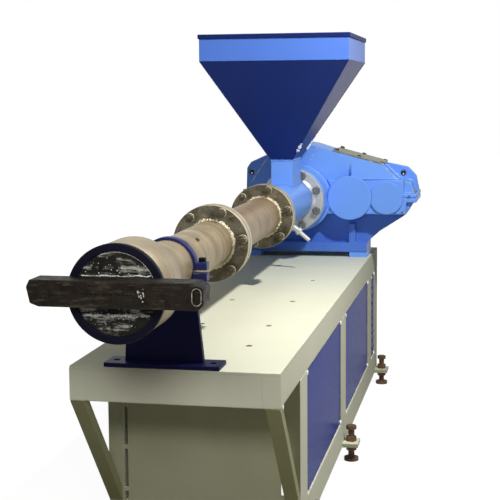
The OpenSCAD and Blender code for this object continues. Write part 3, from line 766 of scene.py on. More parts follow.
def rod(name: str, paths: Sequence[Sequence[Vector]], radius: float, finish: Finish) -> None:
    """Sweep a thin round section along paths.

    Args:
        name: Name of the piece that is made.
        paths: Lines of points that the rods follow.
        radius: Radius of the section.
        finish: What it is made of.
    """
    curve = bpy.data.curves.new(name + "_path", "CURVE")
    curve.dimensions = "3D"
    curve.bevel_depth = radius
    curve.bevel_resolution = 2
    curve.use_fill_caps = True
    for path in paths:
        spline = curve.splines.new("POLY")
        spline.points.add(len(path) - 1)
        spline.points.foreach_set("co", [c for p in path for c in (*p, 1.0)])
    source = put(name + "_path", curve)
    graph = bpy.context.evaluated_depsgraph_get()
    mesh = bpy.data.meshes.new_from_object(source.evaluated_get(graph))
    bpy.data.objects.remove(source)
    keep(put(name, mesh), finish, 60.0)


def slab(name: str, low: Vector, high: Vector, radius: float, finish: Finish) -> None:
    """Block with rounded edges between two corners."""
    shape = bmesh.new()
    bmesh.ops.create_cube(shape, size=1.0)
    for vert in shape.verts:
        vert.co = Vector([low[i] + (vert.co[i] + 0.5) * (high[i] - low[i]) for i in range(3)])
    bmesh.ops.bevel(shape, geom=shape.edges[:], offset=radius, segments=2, profile=0.5,
                    affect="EDGES")
    keep(new_piece(name, shape), finish)


def lathe(profile: Sequence[tuple[float, float]], sides: int) -> bmesh.types.BMesh:
    """Turn a profile about Z.

    Args:
        profile: Radii and heights, from the foot up. A radius of 0 closes it.
        sides: Number of sides.

    Returns:
        The closed solid.
    """
    shape = bmesh.new()
    angles = [2 * math.pi * i / sides for i in range(sides)]
    rows: list[list[bmesh.types.BMVert]] = []
    for radius, height in profile:
        if radius == 0:
            rows.append([shape.verts.new((0, 0, height))])
        else:
            rows.append([shape.verts.new((radius * math.cos(a), radius * math.sin(a), height))
                         for a in angles])
    for lower, upper in zip(rows, rows[1:]):
        for i in range(sides):
            j = (i + 1) % sides
            corners = [lower[i % len(lower)], lower[j % len(lower)],
                       upper[j % len(upper)], upper[i % len(upper)]]
            unique = list(dict.fromkeys(corners))
            if len(unique) > 2:
                shape.faces.new(unique)
    return shape


class Hardware(Enum):
    """Parts that the machine repeats, by their width in metres."""

    FLANGE_NUT = 0.024
    FLANGE_WASHER = 0.03
    GEAR_BOLT = 0.032
    CLAMP_BOLT = 0.018
    SMALL_BOLT = 0.013
    ROUND_HEAD = 0.015
    LEVEL_THREAD = 0.0252
    NIPPLE_THREAD = 0.0178
    FLAKE = 0.002
    # Dark disc that stands in for the shade inside a hole: painted shade.
    HOLE_DISC = 0.0236


def flake(size: float) -> bmesh.types.BMesh:
    """Small flat lump of irregular shape."""
    rng = random.Random(11)
    shape = bmesh.new()
    bmesh.ops.create_icosphere(shape, subdivisions=1, radius=size)
    for vert in shape.verts:
        vert.co *= rng.uniform(0.7, 1.3)
        vert.co.z *= 0.25
    return shape


def profiles(kind: Hardware) -> list[bmesh.types.BMesh]:
    """Turned solids that make up one repeated part."""
    width = kind.value
    half, corner, pitch = width / 2, width / math.sqrt(3), width / 9
    if kind is Hardware.FLAKE:
        return [flake(width)]
    if kind is Hardware.HOLE_DISC:
        return [lathe([(0, 0), (half, 0), (half, 0.004), (width * 0.4, 0.006), (0, 0.006)], 28)]
    if kind is Hardware.ROUND_HEAD:
        return [lathe([(0, 0), (half, 0), (half, 0.0012), (width * 0.4, 0.0036),
                       (width * 0.2, 0.0048), (0, 0.005)], 16)]
    if kind is Hardware.FLANGE_WASHER:
        return [lathe([(0, 0), (half, 0), (half, 0.002), (half - 0.001, 0.003), (0, 0.003)], 28)]
    if kind in (Hardware.LEVEL_THREAD, Hardware.NIPPLE_THREAD):
        return [lathe([(0, 0), (half - 0.001, 0), (half, pitch / 3),
                       (half - 0.001, pitch * 2 / 3), (0, pitch * 2 / 3)], 20)]
    if kind is Hardware.FLANGE_NUT:
        head, stud = width * 0.8, width * 0.31
        return [lathe([(0, 0), (corner * 0.94, 0), (corner, 0.0014), (corner, head - 0.0016),
                       (corner * 0.88, head), (0, head)], 6),
                lathe([(0, head - 0.001), (stud, head - 0.001), (stud, head + 0.004),
                       (width * 0.26, head + 0.006), (0, head + 0.006)], 16)]
    head = width * 0.64
    return [lathe([(0, 0), (corner, 0), (corner, head - 0.0014), (corner * 0.9, head),
                   (width * 0.3, head), (width * 0.26, head - 0.0008), (0, head - 0.0008)], 6)]


def fastener(kind: Hardware) -> bpy.types.Object:
    """Pattern of one repeated part, out of the scene, with its seat at the origin."""
    name = "pattern_" + kind.name.lower()
    found = bpy.data.objects.get(name)
    if found is not None:
        return found
    shape = bmesh.new()
    for part in profiles(kind):
        mesh = bpy.data.meshes.new("part")
        part.to_mesh(mesh)
        part.free()
        shape.from_mesh(mesh)
        bpy.data.meshes.remove(mesh)
    piece = new_piece(name, shape)
    bpy.context.scene.collection.objects.unlink(piece)
    return piece


def spread(name: str, kind: Hardware, places: Sequence[Place], finish: Finish,
           angle: float = 32.0) -> None:
    """Repeat a part at a list of places with Geometry Nodes.

    Args:
        name: Name of the piece that is made.
        kind: Part with its seat at the origin and its head along +Z.
        places: Where each copy sits.
        finish: What it is made of.
        angle: Largest angle in degrees that is still shaded smooth.
    """
    mesh = bpy.data.meshes.new(name)
    mesh.from_pydata([tuple(p.seat) for p in places], [], [])
    facing = mesh.attributes.new("facing", "FLOAT_VECTOR", "POINT")
    facing.data.foreach_set("vector", [c for p in places for c in p.facing])
    for label in ("turn", "size"):
        values = [getattr(p, label) for p in places]
        mesh.attributes.new(label, "FLOAT", "POINT").data.foreach_set("value", values)
    piece = grown(name, mesh, spread_tree(),
                  {"Part": fastener(kind), "Finish": finish.material()})
    keep(piece, finish, angle)


def around(centre: Vector, radius: float, angle: float) -> Vector:
    """Point on a circle round the machine's long axis, at an angle in radians."""
    return centre + Vector((math.cos(angle), 0, math.sin(angle))) * radius


def ring_path(centre: Vector, radius: float, steps: int = 90, first: float = 0.0,
              last: float = 360.0) -> list[Vector]:
    """Arc of points round the machine's long axis, between two angles in degrees."""
    angles = [math.radians(first + (last - first) * i / steps) for i in range(steps + 1)]
    return [around(centre, radius, a) for a in angles]


def ring_places(centre: Vector, radius: float, count: int, first: float,
                facing: Facing) -> list[Place]:
    """Places evenly round a circle in the plane across the machine."""
    angles = [math.radians(first) + 2 * math.pi * i / count for i in range(count)]
    return [Place(around(centre, radius, a), facing.value, a * 1.7) for a in angles]


def row_places(start: Vector, end: Vector, pitch: float) -> list[Place]:
    """Places at an even pitch from one point to another, all facing along the row."""
    span = end - start
    count = max(1, int(span.length / pitch))
    return [Place(start + span * (i / count), span.normalized()) for i in range(count + 1)]


@dataclass
class Table:
    """Cream welded table with its panels, screws, welds and feet."""

    rail_corner: float = 0.004
    plate_corner: float = 0.0025
    post_corner: float = 0.0015
    bar_corner: float = 0.002
    front_corner: float = 0.0008
    sheet_corner: float = 0.0007
    vent_corner: float = 0.0005
    foot_corner: float = 0.0012
    plate_clear: float = 0.004
    rail_clear: float = 0.05
    post_clear: float = 0.001
    screw_inset: float = 0.004
    screw_size: float = 1.25
    hole_sides: tuple[float, float] = (-0.081, 0.144)
    hole_shares: tuple[float, ...] = (0.127, 0.244, 0.416, 0.599)
    disc_depth: float = 0.0051
    disc_size: float = 0.8
    brace_weld: float = 0.028
    foot_rows: tuple[float, ...] = (494.0, 1382.0, 2636.0)
    foot_side: float = 330.0
    thread_spans: tuple[tuple[float, float], ...] = ((-646.0, -621.0), (-563.0, -540.0))
    thread_pitch: float = 0.0028

    def build(self) -> None:
        """Build every piece of the table."""
        self.frame()
        self.cable_hole_shades()
        self.panels()
        self.screws()
        self.welds()
        self.feet()

    def frame(self) -> None:
        """Round the frame's edges, apart from those that lie close to a joint."""
        top = spot("top_rail_left")[1].z
        soften("table_top", RAIL, self.plate_corner, lambda p: p.z > top + self.plate_clear)
        for side in ("front", "rear", "left", "right"):
            soften(f"top_rail_{side}", RAIL, self.rail_corner,
                   lambda p: p.z < top - self.rail_clear)
        posts = spot("side_frame_left")[1].z
        for side in ("left", "right"):
            soften(f"side_frame_{side}", CREAM, self.post_corner,
                   lambda p: p.z < posts - self.post_clear)
        for name in ("bottom_rail_front", "bottom_rail_rear"):
            soften(name, CREAM, self.bar_corner)
        for name in ("brace_left", "brace_right"):
            soften(name, SHADED_BRACE, self.bar_corner)
        soften("foot_brackets", CREAM, self.bar_corner)
        soften("front_panel", CREAM, self.front_corner)

    def cable_hole_shades(self) -> None:
        """Put dark discs down in the cable holes of the top plate: painted shade inside the holes.
        """
        low, high, middle = spot("table_top")
        places: list[Place] = []
        for x in self.hole_sides:
            for share in self.hole_shares:
                seat = Vector((middle.x + x, low.y + share * (high.y - low.y),
                               high.z - self.disc_depth))
                places.append(Place(seat, Facing.UP.value, 0.0, self.disc_size))
        # Painted shade: dark discs where the holes show only shade.
        spread("cable_grommets", Hardware.HOLE_DISC, places, DARK_JOINT_AND_HOLE_SHADE)

    def panels(self) -> None:
        """Finish the blue sheets."""
        for side in ("left", "right"):
            for bay in ("front", "rear"):
                soften(f"side_panel_{side}_{bay}", PANEL, self.sheet_corner)
        soften("rear_panel", PANEL, self.sheet_corner)
        for side in ("left", "right"):
            soften(f"vent_panel_{side}", PANEL, self.vent_corner)

    def screws(self) -> None:
        """Put a round-headed screw at each corner of each side panel."""
        places: list[Place] = []
        for side, facing in (("left", Facing.LEFT), ("right", Facing.RIGHT)):
            first = f"side_panel_{side}_front"
            for name in (first, f"side_panel_{side}_rear", f"vent_panel_{side}"):
                low, high, _ = spot(name)
                face = low.x if facing is Facing.LEFT else spot(first)[1].x
                for y in (low.y + self.screw_inset, high.y - self.screw_inset):
                    for z in (low.z + self.screw_inset, high.z - self.screw_inset):
                        seat = Vector((face, y, z))
                        places.append(Place(seat, facing.value, y + z, self.screw_size))
        spread("panel_screws", Hardware.ROUND_HEAD, places, ZINC)

    def welds(self) -> None:
        """Lay the painted welds where the posts and braces meet the rails."""
        paths: list[list[Vector]] = []
        for side in ("left", "right"):
            low, high, _ = spot(f"side_frame_{side}")
            paths.append([Vector((low.x, low.y, high.z)), Vector((high.x, low.y, high.z))])
            b_low, b_high, _ = spot(f"brace_{side}")
            rise = b_low.z + self.brace_weld
            paths.append([Vector((x, low.y, rise)) for x in (b_low.x, b_high.x)])
        weld("frame_welds", paths, CREAM, width=0.0028, uneven=0.0006)

    def feet(self) -> None:
        """Finish the levelling feet and cut threads round their bolts."""
        soften("levelling_feet", RUST, self.foot_corner)
        places: list[Place] = []
        for side in (-self.foot_side, self.foot_side):
            for row in self.foot_rows:
                for low, high in self.thread_spans:
                    places += row_places(on_table(side, row, low), on_table(side, row, high),
                                         self.thread_pitch)
        spread("levelling_threads", Hardware.LEVEL_THREAD, places, RUST, 20.0)


@dataclass
class DieHead:
    """Die bar, die face and head shell, with burnt residue."""

    bar_corner: float = 0.003
    ring_corner: float = 0.002
    shell_corner: float = 0.0025
    upper_ridge: float = 0.044
    lower_ridge: float = -0.053
    clean_band: tuple[float, float] = (-0.03, 0.044)
    margin: float = 0.006
    hole_margins: tuple[float, float, float] = (0.012, 0.001, 0.006)
    ridge_steps: int = 60
    ridge_sway: float = 0.0016
    ridge_hold: float = 0.8
    ridge_layer: float = 0.003
    ring_inset: float = 0.0012
    ring_proud: float = 0.0005
    upper_share: float = 0.4
    upper_spread: float = 0.014
    lower_spread: float = 0.022
    flake_turns: tuple[float, float] = (0.0, 6.3)
    face_sizes: tuple[float, float] = (0.25, 1.0)
    bar_sizes: tuple[float, float] = (0.4, 1.4)
    flake_sink: float = 0.0002
    face_flakes: int = 90
    bar_flakes: int = 26
    flake_middle: tuple[float, float] = (66.0, 291.0)
    flake_reach: tuple[float, float] = (5.0, 7.0)
    pocket_inset: tuple[float, float] = (0.016, 0.0006)
    pocket_side: float = 0.011
    pocket_rise: float = 0.009
    pocket_steps: int = 40

    def build(self) -> None:
        """Build every piece of the die head."""
        low, high, _ = spot("die_bar")
        soften("die_bar", BAR, self.bar_corner, lambda p: self.outer(p, low, high))
        soften("head_ring", NAVY, self.ring_corner)
        soften("head_shell", SHELL, self.shell_corner)
        dress_node("die_face", IRON)
        self.residue()
        self.scatter()
        self.pocket()

    def outer(self, point: Vector, low: Vector, high: Vector) -> bool:
        """Tell the bar's outline from its strand holes and its pocket."""
        left, right, above = self.hole_margins
        inside_z = low.z + above < point.z < high.z - above
        return not (inside_z and low.x + left < point.x < high.x - right)

    def residue(self) -> None:
        """Lay ridges of burnt plastic across the die face, and a bright arc on its upper right rim
        as painted highlight.
        """
        low, high, middle = spot("die_face")
        radius = (high.x - low.x) / 2
        rng = random.Random(7)
        for name, lift, width, passes in (("upper", self.upper_ridge, 0.0014, 1),
                                          ("lower", self.lower_ridge, 0.0026, 2)):
            half = math.sqrt(radius ** 2 - lift ** 2) - self.margin
            paths: list[list[Vector]] = []
            for layer in range(passes):
                height, path = 0.0, []
                for i in range(self.ridge_steps + 1):
                    sway = rng.uniform(-self.ridge_sway, self.ridge_sway)
                    height = self.ridge_hold * height + sway
                    path.append(Vector((middle.x - half + 2 * half * i / self.ridge_steps, low.y,
                                        middle.z + lift + height + self.ridge_layer * layer)))
                paths.append(path)
            weld(f"{name}_residue", paths, RESIDUE, width, uneven=width * 0.6, seed=5)
        # Painted highlight: a bright arc along the upper right of the die face's rim, in residue
        # colour.
        face = Vector((middle.x, low.y - self.ring_proud, middle.z))
        arc = ring_path(face, radius - self.ring_inset, steps=60, first=18, last=112)
        weld("face_ring", [arc], RESIDUE, width=0.0009, uneven=0.0005, seed=9)

    def scatter(self) -> None:
        """Scatter flakes of plastic over the die face and beside the strand holes."""
        rng = random.Random(21)
        low, high, middle = spot("die_face")
        radius = (high.x - low.x) / 2 - self.margin
        bottom, top = self.clean_band
        places: list[Place] = []
        while len(places) < self.face_flakes:
            x = rng.uniform(-radius, radius)
            z = rng.gauss(self.lower_ridge, self.lower_spread)
            if rng.random() < self.upper_share:
                z = rng.gauss(self.upper_ridge + self.upper_spread, self.upper_spread)
            if math.hypot(x, z) < radius and not bottom < z < top:
                seat = Vector((middle.x + x, low.y, middle.z + z))
                places.append(Place(seat, Facing.FRONT.value, rng.uniform(*self.flake_turns),
                                    rng.uniform(*self.face_sizes)))
        face = spot("die_bar")[0].y
        for _ in range(self.bar_flakes):
            seat = on_table(rng.gauss(self.flake_middle[0], self.flake_reach[0]), 0,
                            rng.gauss(self.flake_middle[1], self.flake_reach[1]))
            seat.y = face + self.flake_sink
            places.append(Place(seat, Facing.FRONT.value, rng.uniform(*self.flake_turns),
                                rng.uniform(*self.bar_sizes)))
        spread("plastic_flakes", Hardware.FLAKE, places, RESIDUE, 60.0)

    def pocket(self) -> None:
        """Rub the rim of the pocket bright."""
        low, high, middle = spot("die_bar")
        inset, depth = self.pocket_inset
        centre = Vector((high.x - inset, low.y + depth, middle.z))
        path: list[Vector] = []
        for i in range(self.pocket_steps + 1):
            turn = 2 * math.pi * (i + 0.5) / self.pocket_steps
            rise = math.copysign(self.pocket_rise, math.sin(turn))
            path.append(centre + Vector((self.pocket_side * math.cos(turn), 0,
                                         rise + self.pocket_side * math.sin(turn))))
        weld("pocket_rim", [path], BEAD, width=0.0007, uneven=0.0005, seed=12)


@dataclass
class Barrel:
    """Barrel shells, flanges, clamp and feed body, with bolts and welds."""

    flange_corner: float = 0.0018
    plain_corner: float = 0.0015
    wide_corner: float = 0.002
    fine_corner: float = 0.0008
    mouth_depth: float = 0.03
    bolt_count: int = 6
    bolt_circle: float = 0.106
    back_circle: float = 0.1
    gear_count: int = 8
    gear_circle: float = 0.118
    gear_first: float = 22.5
    first_angles: tuple[float, float] = (9.0, 15.0)
    washer: float = 0.003
    spigot_rings: tuple[float, ...] = (0.0925, 0.097, 0.1015)
    spigot_bead: float = 0.003
    joint_bead: float = 0.0014
    joint_inset: float = 0.0008
    seam_steps: int = 96
    clamp_ear: float = 0.0154
    ear_heights: tuple[float, float] = (0.014, -0.038)
    weld_rows: tuple[tuple[float, float], ...] = ((0.002, 0.003), (0.006, 0.0005))
    port_angle: float = math.radians(50)
    port_reach: float = 183.0
    port_depth: float = 0.0012
    nipple_foot: tuple[float, float, float] = (10.8, 1880.0, 199.04)
    nipple_turn: float = math.radians(130.4)
    nipple_span: tuple[float, float] = (0.058, 0.102)
    nipple_pitch: float = 0.0022

    def build(self) -> None:
        """Build every piece of the barrel."""
        dress_node("barrel_front", FRONT_SHELL)
        dress_node("barrel_middle", HOT_SHELL)
        for end, finish in (("front", FLANGE), ("rear", RIM)):
            for number in (1, 2):
                soften(f"flange_{number}_{end}", finish, self.flange_corner)
        mouth = spot("feed_body")[0].y + self.mouth_depth
        soften("gearbox_flange", PALE, self.wide_corner)
        soften("barrel_stand", STAND, self.plain_corner)
        soften("clamp_ring", CLAMP, self.plain_corner)
        soften("feed_body", BLUE, self.wide_corner, lambda p: p.y < mouth)
        soften("feed_chute", BLUE, self.plain_corner)
        dress_node("feed_screw", ZINC)
        soften("cooling_nipple", ZINC, self.fine_corner)
        self.flange_bolts()
        self.gearbox_bolts()
        self.clamp_bolts()
        self.welds()
        self.joints()
        self.port()
        self.thread()

    def on_front(self, node: str) -> Vector:
        """Middle of a node's face at the die end."""
        low, _, middle = spot(node)
        return Vector((middle.x, low.y, middle.z))

    def on_back(self, node: str) -> Vector:
        """Middle of a node's face at the gearbox end."""
        _, high, middle = spot(node)
        return Vector((middle.x, high.y, middle.z))

    def half_width(self, node: str) -> float:
        """Half of a node's width across the machine."""
        low, high, _ = spot(node)
        return (high.x - low.x) / 2

    def flange_bolts(self) -> None:
        """Put the nuts and washers on both barrel flanges."""
        nuts: list[Place] = []
        washers: list[Place] = []
        for number, first in zip((1, 2), self.first_angles):
            front = self.on_front(f"flange_{number}_front")
            ring = (self.bolt_circle, self.bolt_count, first, Facing.FRONT)
            washers += ring_places(front, *ring)
            nuts += ring_places(front - Vector((0, self.washer, 0)), *ring)
        nuts += ring_places(self.on_back("flange_1_rear"), self.back_circle, self.bolt_count,
                            self.first_angles[0], Facing.BACK)
        spread("flange_nuts", Hardware.FLANGE_NUT, nuts, NUT)
        spread("flange_washers", Hardware.FLANGE_WASHER, washers, RIM)

    def gearbox_bolts(self) -> None:
        """Put the bolts on the gearbox flange, and its bright spigot ring."""
        front = self.on_front("gearbox_flange")
        bolts = ring_places(front, self.gear_circle, self.gear_count, self.gear_first,
                            Facing.FRONT)
        spread("gearbox_flange_bolts", Hardware.GEAR_BOLT, bolts, BOLT)
        rings = [ring_path(front, radius, self.seam_steps) for radius in self.spigot_rings]
        rod("gearbox_spigot", rings, self.spigot_bead, ZINC)

    def clamp_bolts(self) -> None:
        """Bolt the ears of the clamp ring together, above and below."""
        low, high, middle = spot("clamp_ring")
        above, below = self.ear_heights
        places: list[Place] = []
        for side in (low.x + self.clamp_ear, high.x - self.clamp_ear):
            places.append(Place(Vector((side, middle.y, middle.z + above)),
                                Facing.UP.value, 0.3))
            places.append(Place(Vector((side, middle.y, middle.z + below)),
                                Facing.DOWN.value, 0.9))
        spread("clamp_bolts", Hardware.CLAMP_BOLT, places, NAVY)

    def welds(self) -> None:
        """Lay the beads between the shells and their flanges."""
        paths: list[list[Vector]] = []
        for node, shell in (("flange_1_front", "barrel_front"),
                            ("flange_2_front", "barrel_middle")):
            for back, out in self.weld_rows:
                centre = self.on_front(node) - Vector((0, back, 0))
                paths.append(ring_path(centre, self.half_width(shell) + out))
        weld("shell_welds", paths, BEAD, width=0.0052, uneven=0.0022, seed=3)
        axis = self.on_back("flange_1_rear")
        seats = [axis, Vector((axis.x, spot("head_shell")[1].y, axis.z))]
        radius = self.half_width("barrel_middle") + 0.001
        weld("back_welds", [ring_path(seat, radius) for seat in seats], BEAD, width=0.0036,
             uneven=0.0012, seed=4)

    def joints(self) -> None:
        """Draw the dark joint between the two halves of each flange pair."""
        paths = [ring_path(self.on_front(node), self.half_width(node) - self.joint_inset,
                           self.seam_steps) for node in ("flange_1_rear", "flange_2_rear")]
        rod("flange_joints", paths, self.joint_bead, DARK_JOINT_AND_HOLE_SHADE)

    def port(self) -> None:
        """Close the small threaded sensor port on the front shell."""
        axis = self.on_front("barrel_front")
        axis.y = on_table(0, self.port_reach, 0).y
        seat = around(axis, self.half_width("barrel_front") - self.port_depth, self.port_angle)
        out = around(Vector(), 1.0, self.port_angle)
        spread("sensor_port", Hardware.SMALL_BOLT, [Place(seat, out, 0.4, 0.8)], NUT)

    def thread(self) -> None:
        """Cut the thread on the tail of the cooling nipple."""
        along = Vector((math.sin(self.nipple_turn), 0, math.cos(self.nipple_turn)))
        root = on_table(*self.nipple_foot)
        start, end = (root + along * reach for reach in self.nipple_span)
        spread("nipple_thread", Hardware.NIPPLE_THREAD,
               row_places(start, end, self.nipple_pitch), ZINC, 20.0)


@dataclass
class Hopper:
    """Square feed hopper of folded sheet."""

    sheet_corner: float = 0.001
    rim_corner: float = 0.0015
    seam_inset: float = 0.0012
    spatter_share: float = 0.09
    spatter_steps: tuple[float, ...] = (1.0, 1.4, 1.9)

    def build(self) -> None:
        """Build every piece of the hopper."""
        soften("hopper_band", BAND, self.sheet_corner)
        soften("hopper_rim", HOPPER_RIM, self.rim_corner)
        soften("hopper_cone", CONE, self.sheet_corner)
        self.seams()

    def seams(self) -> None:
        """Weld the cone's corners and the chute, with spatter at the cone's foot."""
        corners = [(-1, -1), (1, -1), (1, 1), (-1, 1)]
        low, high, _ = spot("hopper_cone")
        c_low, c_high, _ = spot("feed_chute")
        foot = [Vector((c_low.x if x < 0 else c_high.x, c_low.y if y < 0 else c_high.y, low.z))
                for x, y in corners]
        head = [Vector((low.x if x < 0 else high.x, low.y if y < 0 else high.y, high.z))
                for x, y in corners]
        inward = [Vector((-x, -y, 0)) * self.seam_inset for x, y in corners]
        weld("cone_seams", [[f + i, h + i] for f, h, i in zip(foot, head, inward)], CONE,
             width=0.0022, uneven=0.0006)
        weld("chute_seam", [foot + foot[:1]], BLUE, width=0.003, uneven=0.001, seed=2)
        proud = Vector((0.001, -0.001, 0))
        weld("foot_spatter", [[f + (h - f) * self.spatter_share * step + proud
                               for step in self.spatter_steps]
                              for f, h in zip(foot[1:3], head[1:3])], CHIP_AND_GLINT, width=0.005,
             uneven=0.003, seed=8)


@dataclass
class Gearbox:
    """Split gearbox housing on its pedestal."""

    upper_corner: float = 0.006
    lower_corner: float = 0.005
    cover_corner: float = 0.004
    plate_corner: float = 0.002
    strip_corner: float = 0.001
    face_y: float = 2270.0
    face_bolts: tuple[tuple[float, float], ...] = ((484.0, 288.0), (112.0, 222.0), (454.0, 214.0))
    split_height: float = 300.0
    split_inset: float = 0.016
    split_shares: tuple[float, ...] = (0.12, 0.37, 0.63, 0.88)
    plate_inset: float = 0.014
    plate_shares: tuple[float, ...] = (0.06, 0.5, 0.93)
    stroke_y: float = 2293.6
    stroke_run: float = 0.16
    stroke_offset: tuple[float, float] = (-7.0, 5.0)
    stroke_tilt: tuple[float, float] = (-2.0, 2.0)
    scratches_and_glints: tuple[tuple[float, float, float, float, int], ...] = (
        (292, 455, 362, 428, 3), (364, 430, 430, 362, 9), (-168, 456, -228, 367, 14),
        (-205, 330, -160, 300, 7), (30, 452, 62, 500, 3))
    lug_left: float = 0.2412
    lug_share: float = 0.87
    lug_height: float = 384.16
    lug_face: float = 0.009
    pin_offset: tuple[float, float, float] = (0.0, -0.006, -0.004)
    key_half: float = 0.007
    key_ends: tuple[float, float] = (0.075, 0.008)
    key_sink: float = 0.006
    key_rise: float = 0.0045
    key_corner: float = 0.001

    def build(self) -> None:
        """Build every piece of the gearbox."""
        soften("gearbox_upper", BLUE, self.upper_corner, segments=3)
        soften("gearbox_lower", BLUE, self.lower_corner, segments=3)
        soften("gearbox_pedestal", SHADED_PEDESTAL, self.cover_corner)
        soften("gearbox_cover_plate", PLATE, self.plate_corner)
        for name in ("bearing_cover_middle", "bearing_cover_input"):
            soften(name, BLUE, self.cover_corner, segments=3)
        soften("packing_strips", BLUE, self.strip_corner)
        soften("input_shaft", ZINC, self.plate_corner)
        self.bolts()
        self.plate_bolts()
        self.worn_edges()
        self.lug_holes()
        self.key()

    def bolts(self) -> None:
        """Put the small bolts on the bearing block and the split flange."""
        places = [Place(on_table(x, self.face_y, z), Facing.FRONT.value, 0.4, 0.8)
                  for x, z in self.face_bolts]
        low, high, _ = spot("gearbox_upper")
        height = on_table(0, 0, self.split_height).z
        for x in (low.x + self.split_inset, high.x - self.split_inset):
            for share in self.split_shares:
                seat = Vector((x, low.y + share * (high.y - low.y), height))
                places.append(Place(seat, Facing.UP.value, share, 1.5))
        spread("housing_bolts", Hardware.SMALL_BOLT, places, BOLT)

    def plate_bolts(self) -> None:
        """Bolt down the cover plate, square to its slope."""
        low, high, _ = spot("gearbox_cover_plate")
        slope = Vector((high.z - low.z, 0, high.x - low.x)).normalized()
        edge = Vector((high.x - low.x, 0, low.z - high.z))
        start = Vector((low.x + 0.004, 0, high.z - 0.002))
        places = [Place(start + edge * share + Vector((0, y, 0)), slope, share, 1.3)
                  for share in self.plate_shares
                  for y in (low.y + self.plate_inset, high.y - self.plate_inset)]
        spread("cover_plate_bolts", Hardware.SMALL_BOLT, places, NUT)

    def worn_edges(self) -> None:
        """Lay light strokes along the housing's shoulders and round its collar: worn paint, and
        painted glints along these edges.
        """
        rng = random.Random(4)
        paths: list[list[Vector]] = []
        for x_0, z_0, x_1, z_1, count in self.scratches_and_glints:
            for _ in range(count):
                share, offset = rng.random(), rng.uniform(*self.stroke_offset)
                x = x_0 + (x_1 - x_0) * share
                z = z_0 + (z_1 - z_0) * share + offset
                end_x = x + (x_1 - x_0) * self.stroke_run
                end_z = z + (z_1 - z_0) * self.stroke_run + rng.uniform(*self.stroke_tilt)
                paths.append([on_table(x, self.stroke_y, z),
                              on_table(end_x, self.stroke_y, end_z)])
        # Worn paint and painted glints along the housing's edges.
        weld("worn_edges", paths, CHIP_AND_GLINT, width=0.0011, uneven=0.0007, seed=6)

    def lug_holes(self) -> None:
        """Put a dark disc in each hole of the lifting lugs as painted shade, each with a bright
        split pin.
        """
        low, high, _ = spot("gearbox_upper")
        axis = spot("feed_screw")[2].x
        y = (low.y + high.y) / 2 - self.lug_face
        z = on_table(0, 0, self.lug_height).z
        seats = [Vector((x, y, z))
                 for x in (axis - self.lug_left, axis + self.lug_share * (high.x - axis))]
        # Painted shade: dark discs in the lug holes.
        spread("lug_plugs", Hardware.HOLE_DISC,
               [Place(seat, Facing.FRONT.value) for seat in seats], DARK_JOINT_AND_HOLE_SHADE)
        proud = Vector(self.pin_offset)
        spread("lug_pins", Hardware.ROUND_HEAD,
               [Place(seat + proud, Facing.FRONT.value, 0.5, 0.55) for seat in seats], ZINC)

    def key(self) -> None:
        """Lay the key in the input shaft."""
        _, high, middle = spot("input_shaft")
        near, far = self.key_ends
        slab("input_key",
             Vector((middle.x - self.key_half, high.y - near, high.z - self.key_sink)),
             Vector((middle.x + self.key_half, high.y - far, high.z + self.key_rise)),
             self.key_corner, NUT)


